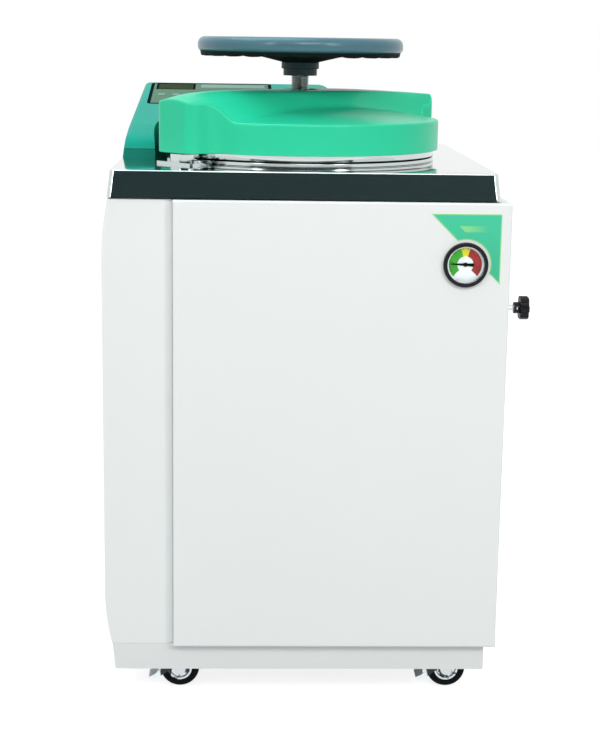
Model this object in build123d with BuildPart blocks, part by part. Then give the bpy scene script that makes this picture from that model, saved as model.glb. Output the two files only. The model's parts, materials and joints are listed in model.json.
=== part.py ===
"""Floor-standing top-loading autoclave: a vertical steam pressure vessel in a sheet-metal cabinet
on four casters, closed by a lid that hangs from a swinging arm and is clamped by a handwheel.

The frame has +X to the right, +Y to the back and +Z up, with the floor at Z = 0 and the origin at
the middle of the outline.  The front of the cabinet faces -Y.  All lengths are millimetres.
"""

import math
import os

from build123d import *

os.makedirs("parts", exist_ok=True)

# ---------------------------------------------------------------- driving dimensions
# Clearances shared by mating pieces.
seat_gap = 0.3
fit_gap = 0.05
panel_gap = 1.2

# Stainless worktop.
plate_width = 560.0
plate_depth = 647.0
plate_top = 807.0
plate_sheet = 2.0
plate_skirt = 39.0
plate_flare = 4.8
plate_corner = 8.0

# Cabinet.
case_right = 300.0
front_proud = 15.0
panel_fold = 15.0
column_seam = -190.0
column_wall = 2.5
column_bevel = 13.0
column_bevel_depth = 3.5
sheet = 1.5
case_back = 640.0
plinth_left_low = -278.0
plinth_left_high = -282.0
plinth_right = 285.0
plinth_bottom = 49.0
plinth_top = 90.0
plinth_sheet = 2.0
tube = 25.0
tube_wall = 2.0
skirt_to_panel = 2.0

# Bulged outer side of the left column, as distance left of the middle at a height.
bulge_top = -283.5
bulge_widest = -293.0
bulge_foot = -283.0
bulge_top_run = 90.0
bulge_foot_run = 85.0

# Pressure vessel.
vessel_to_front = 281.0
bore_radius = 165.0
vessel_wall = 3.0
flange_radius = 215.0
flange_height = 6.5
flange_drop = 16.0
flange_neck = 200.0
chamber_floor = 232.0
dish_depth = 55.0
gasket_inner = 178.0
gasket_outer = 190.0
gasket_groove = 3.5
gasket_height = 5.0
insulation_thickness = 25.0
insulation_bottom = 258.0
port_radius = 8.0
port_height = 585.0

# Heater and its guard plate.
heater_tube = 5.0
heater_loop = 120.0
heater_height = 244.0
heater_spread = 30.0
guard_radius = 161.0
guard_thickness = 2.0
guard_height = 262.0
guard_hole = 6.0

# Lid and its cover.
lid_thickness = 16.0
cover_overhang = 6.5
cover_bottom = 17.5
cover_rim = 60.0
cover_dome = 84.5
cover_wall = 3.0
arm_angle = 42.0
arm_overhang = 41.5
arm_half = 43.0
arm_corner = 19.0
arm_blend = 26.0
beam_overhang = 14.5
beam_half = 76.0
beam_corner = 7.0
crown_arm = 95.0
crown_mid = 108.0
crown_end = 101.0
rim_round = 4.0
crown_round = 5.0
crown_run = 10.0
crown_inset = 5.0
crown_rise = 3.0
crown_rise_start = -200.0
crown_rise_end = -120.0
crown_waist = 26.0
crown_widest = 110.0
crown_flank = 6.0
crown_fall = 2.0
screw_recess = 28.0
cover_post = 5.0
cover_post_x = [130.0, -150.0]
cover_post_side = 14.0

# Lid beam, hinge and latch.
hinge_setback = 25.0
pin_radius = 10.0
pin_head = 15.0
pin_head_height = 6.0
bush_wall = 3.0
bush_flange = 18.0
bush_flange_height = 1.5
boss_radius = 20.0
beam_width = 50.0
beam_thickness = 25.0
beam_bottom = 65.0
hinge_base_width = 84.0
hinge_base_length = 44.0
hinge_base_height = 4.0
hinge_boss_radius = 22.0
hinge_boss_height = 16.5
bolt_head_radius = 7.0
bolt_head_height = 3.6
bolt_radius = 4.0
bolt_length = 14.0
claw_width = 36.0
claw_thickness = 4.0
claw_foot = 14.0
claw_foot_height = 4.0
keeper_width = 40.0
keeper_lip = 5.0
keeper_base = 2.0

# Clamping screw and handwheel.
screw_radius = 14.0
screw_stud = 10.0
nut_radius = 21.0
nut_flange = 29.0
nut_flange_height = 5.0
housing_radius = 32.0
housing_height = 22.0
journal_depth = 18.0
guide_radius = 6.0
guide_spacing = 70.0
guide_length = 60.0
hub_bottom = 130.0
hub_lower_radius = 26.7
hub_upper_radius = 29.8
hub_step = 10.5
wheel_radius = 162.5
wheel_rim_width = 26.0
wheel_rim_height = 22.5
wheel_top = 189.3
grip_depth = 7.5
grip_width = 17.0
grip_count = 24
grip_notch = 5.0
grip_notch_depth = 1.6
web_thickness = 6.0
web_knee = 64.0
web_knee_rise = 8.0
web_overlap = 4.0
wheel_nut_radius = 15.0
wheel_nut_height = 8.0

# Control console behind the lid.
console_left = -280.0
console_right = 74.0
console_front = 239.0
console_back = 641.0
console_lean = 7.4
console_lip = 30.0
console_slope = 10.8
console_slope_start = 302.0
console_slope_height = 48.4
console_crest = 606.0
console_clear = 10.5
console_wall = 3.0
console_round = 34.0
console_edge = 9.0
console_end = 30.0

# Fascia, display and keys.
fascia_left = -254.0
fascia_right = -42.0
fascia_length = 160.0
fascia_middle = 523.5
fascia_thickness = 1.5
fascia_recess = 1.2
fascia_arc_margin = 14.0
display_width = 68.0
display_length = 46.0
display_x = -210.0
display_y = 52.0
key_radius = 7.0
key_travel = 0.7
key_first_x = -233.0
key_pitch = 25.0
key_y = -13.0
key_names = ["key_set", "key_down", "key_up", "key_start"]
board_gap = 5.0
board_thickness = 1.6

# Pressure gauge and the badge around it.
gauge_x = 234.3
gauge_z = 677.5
gauge_bezel_radius = 32.6
gauge_case_radius = 29.0
gauge_face_radius = 27.0
gauge_proud = 7.0
gauge_body = 34.0
gauge_stem = 6.0
badge_side = 102.0
badge_left = 183.0
badge_top = 751.0
badge_thickness = 0.6
badge_clear = 4.0

# Exhaust valve on the right-hand side.
valve_y = 165.0
valve_body_size = 30.0
valve_neck = 7.8
valve_neck_proud = 6.0
knob_radius = 18.5
knob_thickness = 14.0
knob_hub_radius = 9.0
knob_hub_length = 9.0
knob_reach = 60.0
knob_lobes = 6
stem_radius = 4.0
line_radius = 3.0

# Rear of the cabinet.
drain_x = 60.0
drain_height = 130.0
drain_radius = 8.0
drain_proud = 28.0
spigot_radius = 7.0
spigot_length = 22.0
spigot_wall = 2.0
gland_x = -20.0
gland_height = 250.0
gland_radius = 9.0
gland_bore = 5.0
gland_proud = 24.0
louvre_width = 60.0
louvre_height = 4.0
louvre_pitch = 14.0
louvre_rows = 6
louvre_columns = 4
louvre_gap = 20.0
louvre_from_top = 110.0
louvre_from_plinth = 320.0
box_width = 180.0
box_depth = 80.0
box_height = 220.0
box_x = -140.0
box_bottom = 200.0

# Casters.
wheel_size = 60.0
caster_width = 18.0
caster_trail = 22.0
caster_left = -204.0
caster_right = 212.5
caster_front = 57.0
caster_plate = 60.0
caster_plate_thickness = 3.0
caster_plate_corner = 5.0
caster_bolt_span = 46.0
caster_bolt_hole = 3.2
swivel_radius = 17.0
fork_sheet = 2.5
fork_top = 70.0
fork_side_gap = 1.5
fork_crown = 48.0
fork_crown_corner = 4.0
fork_crown_offset = 8.0
caster_axle = 4.0
tyre_thickness = 9.0
pedal_pivot_back = 12.0
pedal_pivot_up = 8.0
pedal_sheet = 1.5

# ---------------------------------------------------------------- derived places
# The outline runs from the column bulge to the knob, and from the gauge to the drain outlet.
knob_end = case_right + knob_reach
gauge_front = -front_proud - gauge_proud
rear_end = case_back + drain_proud
case_x = -(bulge_widest + knob_end) / 2
case_y = -(gauge_front + rear_end) / 2
vessel_x = case_x
vessel_y = case_y + vessel_to_front
panel_top = plate_top - plate_skirt - skirt_to_panel
post_left = -plate_width / 2 + 10.0
post_right = plate_width / 2 - 10.0
post_back = case_back - 4.0
vessel_outer = bore_radius + vessel_wall
cover_radius = flange_radius + cover_overhang
arm_reach = cover_radius + arm_overhang
beam_reach = cover_radius + beam_overhang
pivot_distance = arm_reach - hinge_setback
caster_rear = case_back - caster_front
insulation_outer = vessel_outer + insulation_thickness
lid_bottom = plate_top + flange_height + gasket_height - gasket_groove + seat_gap
lid_top = lid_bottom + lid_thickness
housing_top = lid_top + housing_height
beam_low = plate_top + beam_bottom
beam_high = beam_low + beam_thickness
hub_low = plate_top + hub_bottom
hub_middle = hub_low + hub_step
hub_high = hub_middle + hub_step
rim_high = plate_top + wheel_top
rim_low = rim_high - wheel_rim_height
fork_wheel_z = wheel_size / 2
tray_floor = plinth_top - plinth_sheet


def level(height):
    """Horizontal plane at a height, with its origin at the middle of the worktop's front edge."""
    return Plane((case_x, case_y, height))


def over_vessel(height):
    """Horizontal plane on the vessel's axis, with its X axis along the lid beam."""
    turn = math.radians(arm_angle)
    return Plane((vessel_x, vessel_y, height), x_dir=(math.cos(turn), math.sin(turn), 0))


def facing_front(depth):
    """Upright plane facing the front, at a distance behind the worktop's front edge."""
    return Plane((case_x, case_y + depth, 0), x_dir=(1, 0, 0), z_dir=(0, -1, 0))


def facing_right(distance):
    """Upright plane facing right, at a distance right of the middle, its X axis to the back."""
    return Plane((case_x + distance, case_y, 0), x_dir=(0, 1, 0), z_dir=(1, 0, 0))


def save(piece, name):
    """Label a finished piece and write it as its own STEP file."""
    piece.part.label = name
    export_step(piece.part, f"parts/{name}.step")


# ---------------------------------------------------------------- base tray
with BuildPart() as base_tray:
    with BuildSketch(facing_front(0)):
        with BuildLine():
            Polyline(
                (plinth_left_low, plinth_bottom),
                (plinth_right, plinth_bottom),
                (plinth_right, plinth_top),
                (plinth_left_high, plinth_top),
                close=True,
            )
        make_face()
    extrude(amount=-case_back)
    fillet(base_tray.edges().filter_by(Axis.Z), 3.0)
    fillet(base_tray.faces().sort_by(Axis.Z)[0].edges().sort_by(Axis.X)[0], 2.5)
    with BuildSketch(facing_front(plinth_sheet)):
        with BuildLine():
            Polyline(
                (plinth_left_low + plinth_sheet, plinth_bottom),
                (plinth_right - plinth_sheet, plinth_bottom),
                (plinth_right - plinth_sheet, tray_floor),
                (plinth_left_high + plinth_sheet, tray_floor),
                close=True,
            )
        make_face()
    extrude(amount=-(case_back - 2 * plinth_sheet), mode=Mode.SUBTRACT)
save(base_tray, "base_tray")

# ---------------------------------------------------------------- chassis frame
post_low = plinth_top
post_high = plate_top - plate_sheet
frame_deep = post_back - panel_fold
frame_wide = post_right - post_left
post_x = [post_left + tube / 2, post_right - tube / 2]
post_y = [panel_fold + tube / 2, post_back - tube / 2]
rail_z = [post_low + tube / 2, post_high - tube / 2]

with BuildPart(level(0)) as chassis_frame:
    for x in post_x:
        for y in post_y:
            with Locations((x, y, (post_low + post_high) / 2)):
                Box(tube, tube, post_high - post_low)
    for z in rail_z:
        for y in post_y:
            with Locations((0, y, z)):
                Box(frame_wide - tube, tube, tube)
        for x in post_x:
            with Locations((x, (panel_fold + post_back) / 2, z)):
                Box(tube, frame_deep - tube, tube)
    for x in post_x:
        for y in post_y:
            with Locations((x, y, (post_low + post_high) / 2)):
                Box(tube - 2 * tube_wall, tube - 2 * tube_wall, post_high - post_low, mode=Mode.SUBTRACT)
    for z in rail_z:
        for y in post_y:
            with Locations((0, y, z)):
                Box(frame_wide - tube, tube - 2 * tube_wall, tube - 2 * tube_wall, mode=Mode.SUBTRACT)
        for x in post_x:
            with Locations((x, (panel_fold + post_back) / 2, z)):
                Box(tube - 2 * tube_wall, frame_deep - tube, tube - 2 * tube_wall, mode=Mode.SUBTRACT)
save(chassis_frame, "chassis_frame")

# ---------------------------------------------------------------- cabinet panels
front_left = column_seam + panel_gap / 2
front_width = case_right - front_left
front_middle = (case_right + front_left) / 2
panel_low = plinth_top + seat_gap
panel_height = panel_top - panel_low
panel_middle = (panel_top + panel_low) / 2

with BuildPart() as front_panel:
    with BuildSketch(facing_front(-front_proud)):
        with Locations((front_middle, panel_middle)):
            Rectangle(front_width, panel_height)
    extrude(amount=-(front_proud + panel_fold))
    fillet(front_panel.faces().sort_by(Axis.Y)[0].edges(), 2.5)
    with BuildSketch(facing_front(-front_proud + sheet)):
        with Locations((front_middle, panel_middle)):
            Rectangle(front_width - 2 * sheet, panel_height - 2 * sheet)
    extrude(amount=-(front_proud + panel_fold), mode=Mode.SUBTRACT)
    with BuildSketch(facing_front(-front_proud)):
        with Locations((gauge_x, gauge_z)):
            Circle(gauge_case_radius + seat_gap)
    extrude(amount=-sheet, mode=Mode.SUBTRACT)
save(front_panel, "front_panel")

side_front = panel_fold + panel_gap
side_depth = case_back - side_front
side_fold = case_right - post_right - seat_gap

with BuildPart() as right_side_panel:
    with BuildSketch(facing_right(case_right)):
        with Locations((side_front + side_depth / 2, panel_middle)):
            Rectangle(side_depth, panel_height)
    extrude(amount=-side_fold)
    fillet(right_side_panel.faces().sort_by(Axis.X)[-1].edges(), 2.0)
    with BuildSketch(facing_right(case_right - sheet)):
        with Locations((side_front + side_depth / 2, panel_middle)):
            Rectangle(side_depth - 2 * sheet, panel_height - 2 * sheet)
    extrude(amount=-side_fold, mode=Mode.SUBTRACT)
    with BuildSketch(facing_right(case_right)):
        with Locations((valve_y, port_height)):
            Circle(valve_neck + seat_gap)
    extrude(amount=-sheet, mode=Mode.SUBTRACT)
save(right_side_panel, "right_side_panel")


def column_section(depth, inset, seam):
    """Bulged section of the left column on an upright plane, set in by a wall."""
    top = panel_top - inset
    foot = panel_low + inset
    with BuildSketch(facing_front(depth)) as section:
        with BuildLine():
            side = Line(
                (bulge_widest + inset, foot + bulge_foot_run),
                (bulge_widest + inset, top - bulge_top_run),
            )
            upper = TangentArc(side @ 1, (bulge_top + inset, top), tangent=side % 1)
            lower = TangentArc(side @ 0, (bulge_foot + inset, foot), tangent=-(side % 0))
            Polyline(upper @ 1, (seam, top), (seam, foot), lower @ 1)
        make_face()
    return section.sketch


column_edge = column_seam - panel_gap / 2
side_return = post_left - seat_gap
column_outer = column_section(0, 0, column_edge)
column_inner = column_section(column_wall, column_wall, column_edge - 1.5 * column_bevel_depth)

with BuildPart() as left_column_cover:
    extrude(column_outer, amount=-case_back)
    chamfer(
        left_column_cover.faces().sort_by(Axis.Y)[0].edges().sort_by(Axis.X)[-1],
        column_bevel_depth,
        column_bevel,
        reference=left_column_cover.faces().sort_by(Axis.X)[-1],
    )
    extrude(column_inner, amount=-(case_back - 2 * column_wall), mode=Mode.SUBTRACT)
    with BuildSketch(level(panel_low)):
        with Locations(((side_return + column_edge) / 2, (panel_fold + case_back) / 2)):
            Rectangle(column_edge - side_return, case_back - panel_fold + seat_gap)
    extrude(amount=panel_height, mode=Mode.SUBTRACT)
save(left_column_cover, "left_column_cover")

rear_width = post_right - post_left - 2 * seat_gap
drain_hole = drain_radius + seat_gap

with BuildPart() as rear_panel:
    with BuildSketch(facing_front(post_back)):
        with Locations(((post_left + post_right) / 2, panel_middle)):
            Rectangle(rear_width, panel_height)
        with Locations((drain_x, drain_height)):
            Circle(drain_hole, mode=Mode.SUBTRACT)
        with Locations((gland_x, gland_height)):
            Circle(gland_radius + seat_gap, mode=Mode.SUBTRACT)
        with Locations((0, panel_top - louvre_from_top), (0, plinth_top + louvre_from_plinth)):
            with GridLocations(louvre_width + louvre_gap, louvre_pitch, louvre_columns, louvre_rows):
                SlotOverall(louvre_width, louvre_height, mode=Mode.SUBTRACT)
    extrude(amount=-sheet)
save(rear_panel, "rear_panel")

# ---------------------------------------------------------------- stainless worktop
keeper_inner = flange_radius + 2.5
keeper_outer = keeper_inner + claw_thickness + claw_foot + 2.0 + keeper_lip
hinge_bolt_places = [(-pivot_distance, 31.0), (-pivot_distance, -31.0)]
keeper_bolt_x = keeper_outer + 1.0 + bolt_head_radius
keeper_tab = 2 * bolt_head_radius + 4.0
keeper_bolt_places = [(keeper_bolt_x, 11.0), (keeper_bolt_x, -11.0)]
flare_angle = math.degrees(math.atan(plate_flare / plate_skirt))

with BuildPart() as top_plate:
    with BuildSketch(level(plate_top - plate_skirt)):
        with Locations((0, plate_depth / 2)):
            Rectangle(plate_width + 2 * plate_flare, plate_depth + 2 * plate_flare)
    extrude(amount=plate_skirt, taper=flare_angle)
    upright = top_plate.edges().filter_by(lambda e: abs(e.tangent_at(0).Z) > 0.9)
    fillet(upright, plate_corner)
    fillet(top_plate.faces().sort_by(Axis.Z)[-1].edges(), 1.5)
    offset(amount=-plate_sheet, openings=top_plate.faces().sort_by(Axis.Z)[0], kind=Kind.INTERSECTION)
    with BuildSketch(over_vessel(plate_top)):
        Circle(flange_neck + seat_gap)
        with Locations(*hinge_bolt_places, *keeper_bolt_places):
            Circle(bolt_radius + seat_gap)
    extrude(amount=-2 * plate_sheet, mode=Mode.SUBTRACT)
save(top_plate, "top_plate")

# ---------------------------------------------------------------- pressure vessel
flange_top = plate_top + flange_height
shelf_inner = guard_radius - 12.0
port_reach = insulation_outer + 5.0
drain_port_low = chamber_floor - dish_depth - 22.0

with BuildPart() as vessel:
    with BuildSketch(Plane((vessel_x, vessel_y, 0), x_dir=(1, 0, 0), z_dir=(0, -1, 0))):
        with BuildLine():
            inner = EllipticalCenterArc(
                (0, chamber_floor), bore_radius, dish_depth, start_angle=-90, arc_size=90
            )
            outer = EllipticalCenterArc(
                (0, chamber_floor),
                vessel_outer,
                dish_depth + vessel_wall,
                start_angle=-90,
                arc_size=90,
            )
            Polyline(
                inner @ 1,
                (bore_radius, flange_top),
                (flange_radius, flange_top),
                (flange_radius, plate_top),
                (flange_neck, plate_top),
                (flange_neck, plate_top - flange_drop),
                (vessel_outer, plate_top - flange_drop),
                outer @ 1,
            )
            Line(inner @ 0, outer @ 0)
        make_face()
    revolve(axis=Axis((vessel_x, vessel_y, 0), (0, 0, 1)))
    fillet(vessel.faces().sort_by(Axis.Z)[-1].edges().sort_by(SortBy.RADIUS)[-1], 1.0)
    with BuildSketch(over_vessel(flange_top)):
        Circle(gasket_outer)
        Circle(gasket_inner, mode=Mode.SUBTRACT)
    extrude(amount=-gasket_groove, mode=Mode.SUBTRACT)
    # Three lugs inside carry the guard plate.
    with BuildSketch(over_vessel(guard_height - 6.0)):
        with PolarLocations((shelf_inner + bore_radius + vessel_wall / 2) / 2, 3, start_angle=30):
            Rectangle(bore_radius + vessel_wall / 2 - shelf_inner, 16.0)
    extrude(amount=6.0)
    # Ports: exhaust to the right, gauge line to the front, safety valve to the back, drain below.
    with BuildSketch(Plane((vessel_x, vessel_y, port_height), z_dir=(1, 0, 0)).offset(bore_radius)):
        Circle(port_radius)
    extrude(amount=port_reach - bore_radius)
    with BuildSketch(Plane((vessel_x, vessel_y, gauge_z), z_dir=(0, -1, 0)).offset(bore_radius)):
        Circle(port_radius)
    extrude(amount=port_reach - bore_radius)
    with BuildSketch(Plane((vessel_x, vessel_y, port_height), z_dir=(0, 1, 0)).offset(bore_radius)):
        Circle(port_radius)
    extrude(amount=port_reach - bore_radius)
    with BuildSketch(over_vessel(drain_port_low)):
        Circle(port_radius)
    extrude(amount=24.0)
    # Bores of the ports, and the two heater entries at the back.
    with BuildSketch(Plane((vessel_x, vessel_y, port_height), z_dir=(1, 0, 0))):
        Circle(line_radius)
    extrude(amount=port_reach, mode=Mode.SUBTRACT)
    with BuildSketch(Plane((vessel_x, vessel_y, gauge_z), z_dir=(0, -1, 0))):
        Circle(line_radius)
    extrude(amount=port_reach, mode=Mode.SUBTRACT)
    with BuildSketch(Plane((vessel_x, vessel_y, port_height), z_dir=(0, 1, 0))):
        Circle(line_radius)
    extrude(amount=port_reach, mode=Mode.SUBTRACT)
    with BuildSketch(over_vessel(drain_port_low)):
        Circle(line_radius)
    extrude(amount=40.0, mode=Mode.SUBTRACT)
    with BuildSketch(Plane((vessel_x, vessel_y, heater_height), x_dir=(1, 0, 0), z_dir=(0, 1, 0))):
        with Locations((-heater_spread, 0), (heater_spread, 0)):
            Circle(heater_tube + fit_gap)
    extrude(amount=vessel_outer + 5.0, mode=Mode.SUBTRACT)
save(vessel, "vessel")

with BuildPart() as vessel_insulation:
    with BuildSketch(over_vessel(insulation_bottom)):
        Circle(insulation_outer)
        Circle(vessel_outer + seat_gap, mode=Mode.SUBTRACT)
    extrude(amount=plate_top - flange_drop - seat_gap - insulation_bottom)
    for height, direction in [
        (port_height, (1, 0, 0)),
        (gauge_z, (0, -1, 0)),
        (port_height, (0, 1, 0)),
    ]:
        with BuildSketch(Plane((vessel_x, vessel_y, height), z_dir=direction)):
            Circle(port_radius + seat_gap)
        extrude(amount=port_reach, mode=Mode.SUBTRACT)
save(vessel_insulation, "vessel_insulation")

with BuildPart() as lid_gasket:
    with BuildSketch(over_vessel(flange_top - gasket_groove)):
        Circle(gasket_outer - seat_gap)
        Circle(gasket_inner + seat_gap, mode=Mode.SUBTRACT)
    extrude(amount=gasket_height)
save(lid_gasket, "lid_gasket")

# The heating element is one loop with two straight ends out of the back of the vessel.
loop_back = math.sqrt(heater_loop**2 - heater_spread**2)
loop_turn = math.degrees(math.acos(heater_spread / heater_loop))

with BuildPart() as immersion_heater:
    with BuildLine(Plane((vessel_x, vessel_y, heater_height))) as heater_path:
        CenterArc((0, 0), heater_loop, 180 - loop_turn, 180 + 2 * loop_turn)
        Line((heater_spread, loop_back), (heater_spread, vessel_outer + 22.0))
        Line((-heater_spread, loop_back), (-heater_spread, vessel_outer + 22.0))
    with BuildSketch(
        Plane(
            (vessel_x + heater_spread, vessel_y + vessel_outer + 22.0, heater_height),
            z_dir=(0, -1, 0),
        )
    ):
        Circle(heater_tube)
    sweep(path=heater_path.wires()[0], transition=Transition.ROUND)
save(immersion_heater, "immersion_heater")

with BuildPart() as heater_guard:
    with BuildSketch(over_vessel(guard_height)):
        Circle(guard_radius)
        for ring in range(1, 6):
            with PolarLocations(ring * 27.0, ring * 6):
                Circle(guard_hole, mode=Mode.SUBTRACT)
    extrude(amount=guard_thickness)
save(heater_guard, "heater_guard")

# ---------------------------------------------------------------- lid cover
# Sections along the raised crown: place along the arm, half-width of its top, height of its top.
crown_sections = [
    (-arm_reach - crown_run, arm_half - crown_inset, crown_arm),
    (crown_rise_start, arm_half - crown_inset, crown_arm + crown_rise),
    (crown_rise_end, arm_half - crown_inset, crown_mid - 2 * crown_rise),
    (0.0, beam_half - crown_waist, crown_mid),
    (crown_widest, beam_half - 2 * crown_flank, crown_mid - crown_fall),
    (beam_reach + crown_run, beam_half - crown_flank, crown_end),
]
dome_fall = (cover_dome - cover_rim - rim_round) / cover_radius**2


def dome_height(radius):
    """Height of the domed cover above the worktop at a radius from the vessel's axis."""
    return cover_dome - dome_fall * radius**2


def cover_skirt(inset):
    """Round skirt and domed roof of the lid cover, set in by the wall."""
    edge = cover_radius - inset
    roof = dome_height(cover_radius) - inset
    with BuildPart() as skirt:
        with BuildSketch(
            Plane((vessel_x, vessel_y, plate_top), x_dir=(1, 0, 0), z_dir=(0, -1, 0))
        ) as profile:
            with BuildLine():
                dome = ThreePointArc(
                    (0, cover_dome - inset),
                    (edge / 2, dome_height(cover_radius / 2) - inset),
                    (edge, roof),
                )
                Polyline(dome @ 1, (edge, cover_bottom), (0, cover_bottom), dome @ 0)
            make_face()
            fillet(profile.vertices().group_by(Axis.X)[-1].sort_by(Axis.Y)[-1], rim_round)
        revolve(axis=Axis((vessel_x, vessel_y, 0), (0, 0, 1)))
    return skirt.part


def cover_crown(inset):
    """Raised crown of the lid cover, from the hinge arm on -X to the latch end on +X."""
    with BuildSketch(over_vessel(plate_top + cover_bottom)) as plan:
        Circle(cover_radius - inset)
        with Locations((-arm_reach / 2, 0)):
            Rectangle(arm_reach - 2 * inset, 2 * (arm_half - inset))
        with Locations((beam_reach / 2, 0)):
            Rectangle(beam_reach - 2 * inset, 2 * (beam_half - inset))
        fillet(plan.vertices().group_by(Axis.X)[1], arm_blend + inset)
        fillet(plan.vertices().sort_by(Axis.X)[:2], arm_corner - inset)
        fillet(plan.vertices().sort_by(Axis.X)[-2:], beam_corner - inset)
    with BuildPart() as crown:
        for place, half_top, height in crown_sections:
            half_foot = beam_half - inset
            foot = dome_height(math.hypot(place, beam_half)) - inset - 1.0
            section = Plane(
                over_vessel(plate_top).from_local_coords((place, 0, 0)),
                x_dir=over_vessel(0).y_dir,
                z_dir=over_vessel(0).x_dir,
            )
            with BuildSketch(section) as shape:
                with BuildLine():
                    Polyline(
                        (-half_foot, cover_bottom),
                        (half_foot, cover_bottom),
                        (half_foot, foot),
                        (half_top - inset, height - inset),
                        (inset - half_top, height - inset),
                        (-half_foot, foot),
                        close=True,
                    )
                make_face()
                fillet(shape.vertices().group_by(Axis.Y)[-1], crown_round - inset)
        loft()
        extrude(plan.sketch, amount=crown_mid, mode=Mode.INTERSECT)
    return crown.part


outer_skirt = cover_skirt(0)
inner_skirt = cover_skirt(cover_wall)
outer_crown = cover_crown(0)
inner_crown = cover_crown(cover_wall)
cover_post_places = [(x, y) for x in cover_post_x for y in (cover_post_side, -cover_post_side)]

with BuildPart() as lid_cover:
    add(outer_skirt)
    add(outer_crown)
    add(inner_skirt, mode=Mode.SUBTRACT)
    add(inner_crown, mode=Mode.SUBTRACT)
    with BuildSketch(over_vessel(beam_high)):
        Circle(screw_recess)
    extrude(amount=crown_mid, mode=Mode.SUBTRACT)
    # Posts moulded under the roof stand on the beam.
    with BuildSketch(over_vessel(beam_high)):
        with Locations(*cover_post_places):
            Circle(cover_post)
    extrude(until=Until.NEXT)
save(lid_cover, "lid_cover")

# ---------------------------------------------------------------- lid beam, hinge and latch
bush_outer = pin_radius + fit_gap + bush_wall
hinge_boss_top = plate_top + hinge_boss_height
bush_low = hinge_boss_top + seat_gap
boss_low = bush_low + bush_flange_height
counterbore = pin_head_height + 3.0
boss_seat = beam_high - counterbore
nut_seat = beam_low - nut_flange_height
claw_low = plate_top + keeper_base + 1.5
claw_inner = keeper_inner
claw_outer = claw_inner + claw_thickness

with BuildPart() as lid_beam:
    with BuildSketch(over_vessel(beam_low)):
        with Locations(((claw_outer - pivot_distance) / 2, 0)):
            Rectangle(claw_outer + pivot_distance, beam_width)
    extrude(amount=beam_thickness)
    with BuildSketch(over_vessel(boss_low)):
        with Locations((-pivot_distance, 0)):
            Circle(boss_radius)
    extrude(amount=beam_high - boss_low)
    # The claw hangs from the free end and turns outward under the keeper's lip.
    with BuildSketch(over_vessel(claw_low)):
        with Locations(((claw_inner + claw_outer) / 2, 0)):
            Rectangle(claw_thickness, claw_width)
    extrude(amount=beam_low - claw_low)
    with BuildSketch(over_vessel(claw_low)):
        with Locations((claw_outer + claw_foot / 2, 0)):
            Rectangle(claw_foot, claw_width)
    extrude(amount=claw_foot_height)
    # Bores for the hinge bush, the pin's head, the screw nut and the guide rods.
    with BuildSketch(over_vessel(boss_low)):
        with Locations((-pivot_distance, 0)):
            Circle(bush_outer)
    extrude(amount=beam_high - boss_low, mode=Mode.SUBTRACT)
    with BuildSketch(over_vessel(boss_seat)):
        with Locations((-pivot_distance, 0)):
            Circle(pin_head + 1.0)
    extrude(amount=counterbore, mode=Mode.SUBTRACT)
    with BuildSketch(over_vessel(beam_low)):
        Circle(nut_radius)
        with Locations((-guide_spacing, 0), (guide_spacing, 0)):
            Circle(guide_radius + fit_gap)
    extrude(amount=beam_thickness, mode=Mode.SUBTRACT)
save(lid_beam, "lid_beam")

with BuildPart() as hinge_bush:
    with BuildSketch(over_vessel(bush_low)):
        with Locations((-pivot_distance, 0)):
            Circle(bush_flange)
            Circle(pin_radius + fit_gap, mode=Mode.SUBTRACT)
    extrude(amount=bush_flange_height)
    with BuildSketch(over_vessel(boss_low)):
        with Locations((-pivot_distance, 0)):
            Circle(bush_outer)
            Circle(pin_radius + fit_gap, mode=Mode.SUBTRACT)
    extrude(amount=boss_seat - boss_low)
save(hinge_bush, "hinge_bush")

with BuildPart() as hinge_block:
    with BuildSketch(over_vessel(plate_top)):
        with Locations((-keeper_inner - hinge_base_length / 2, 0)):
            RectangleRounded(hinge_base_length, hinge_base_width, 6.0)
    extrude(amount=hinge_base_height)
    with BuildSketch(over_vessel(plate_top)):
        with Locations((-pivot_distance, 0)):
            Circle(hinge_boss_radius)
    extrude(amount=hinge_boss_height)
    fillet(hinge_block.faces().sort_by(Axis.Z)[-1].edges(), 1.0)
    with BuildSketch(over_vessel(plate_top)):
        with Locations((-pivot_distance, 0)):
            Circle(pin_radius)
        with Locations(*hinge_bolt_places):
            Circle(bolt_radius + seat_gap)
    extrude(amount=hinge_boss_height, mode=Mode.SUBTRACT)
save(hinge_block, "hinge_block")

with BuildPart() as hinge_pin:
    with BuildSketch(over_vessel(plate_top)):
        with Locations((-pivot_distance, 0)):
            Circle(pin_radius)
    extrude(amount=boss_seat + seat_gap - plate_top)
    with BuildSketch(over_vessel(boss_seat + seat_gap)):
        with Locations((-pivot_distance, 0)):
            Circle(pin_head)
    extrude(amount=pin_head_height)
    chamfer(hinge_pin.faces().sort_by(Axis.Z)[-1].edges(), 1.0)
save(hinge_pin, "hinge_pin")

lip_inner = claw_outer + 1.5
lip_low = claw_low + claw_foot_height + 0.6
keeper_top = lip_low + keeper_lip

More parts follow.
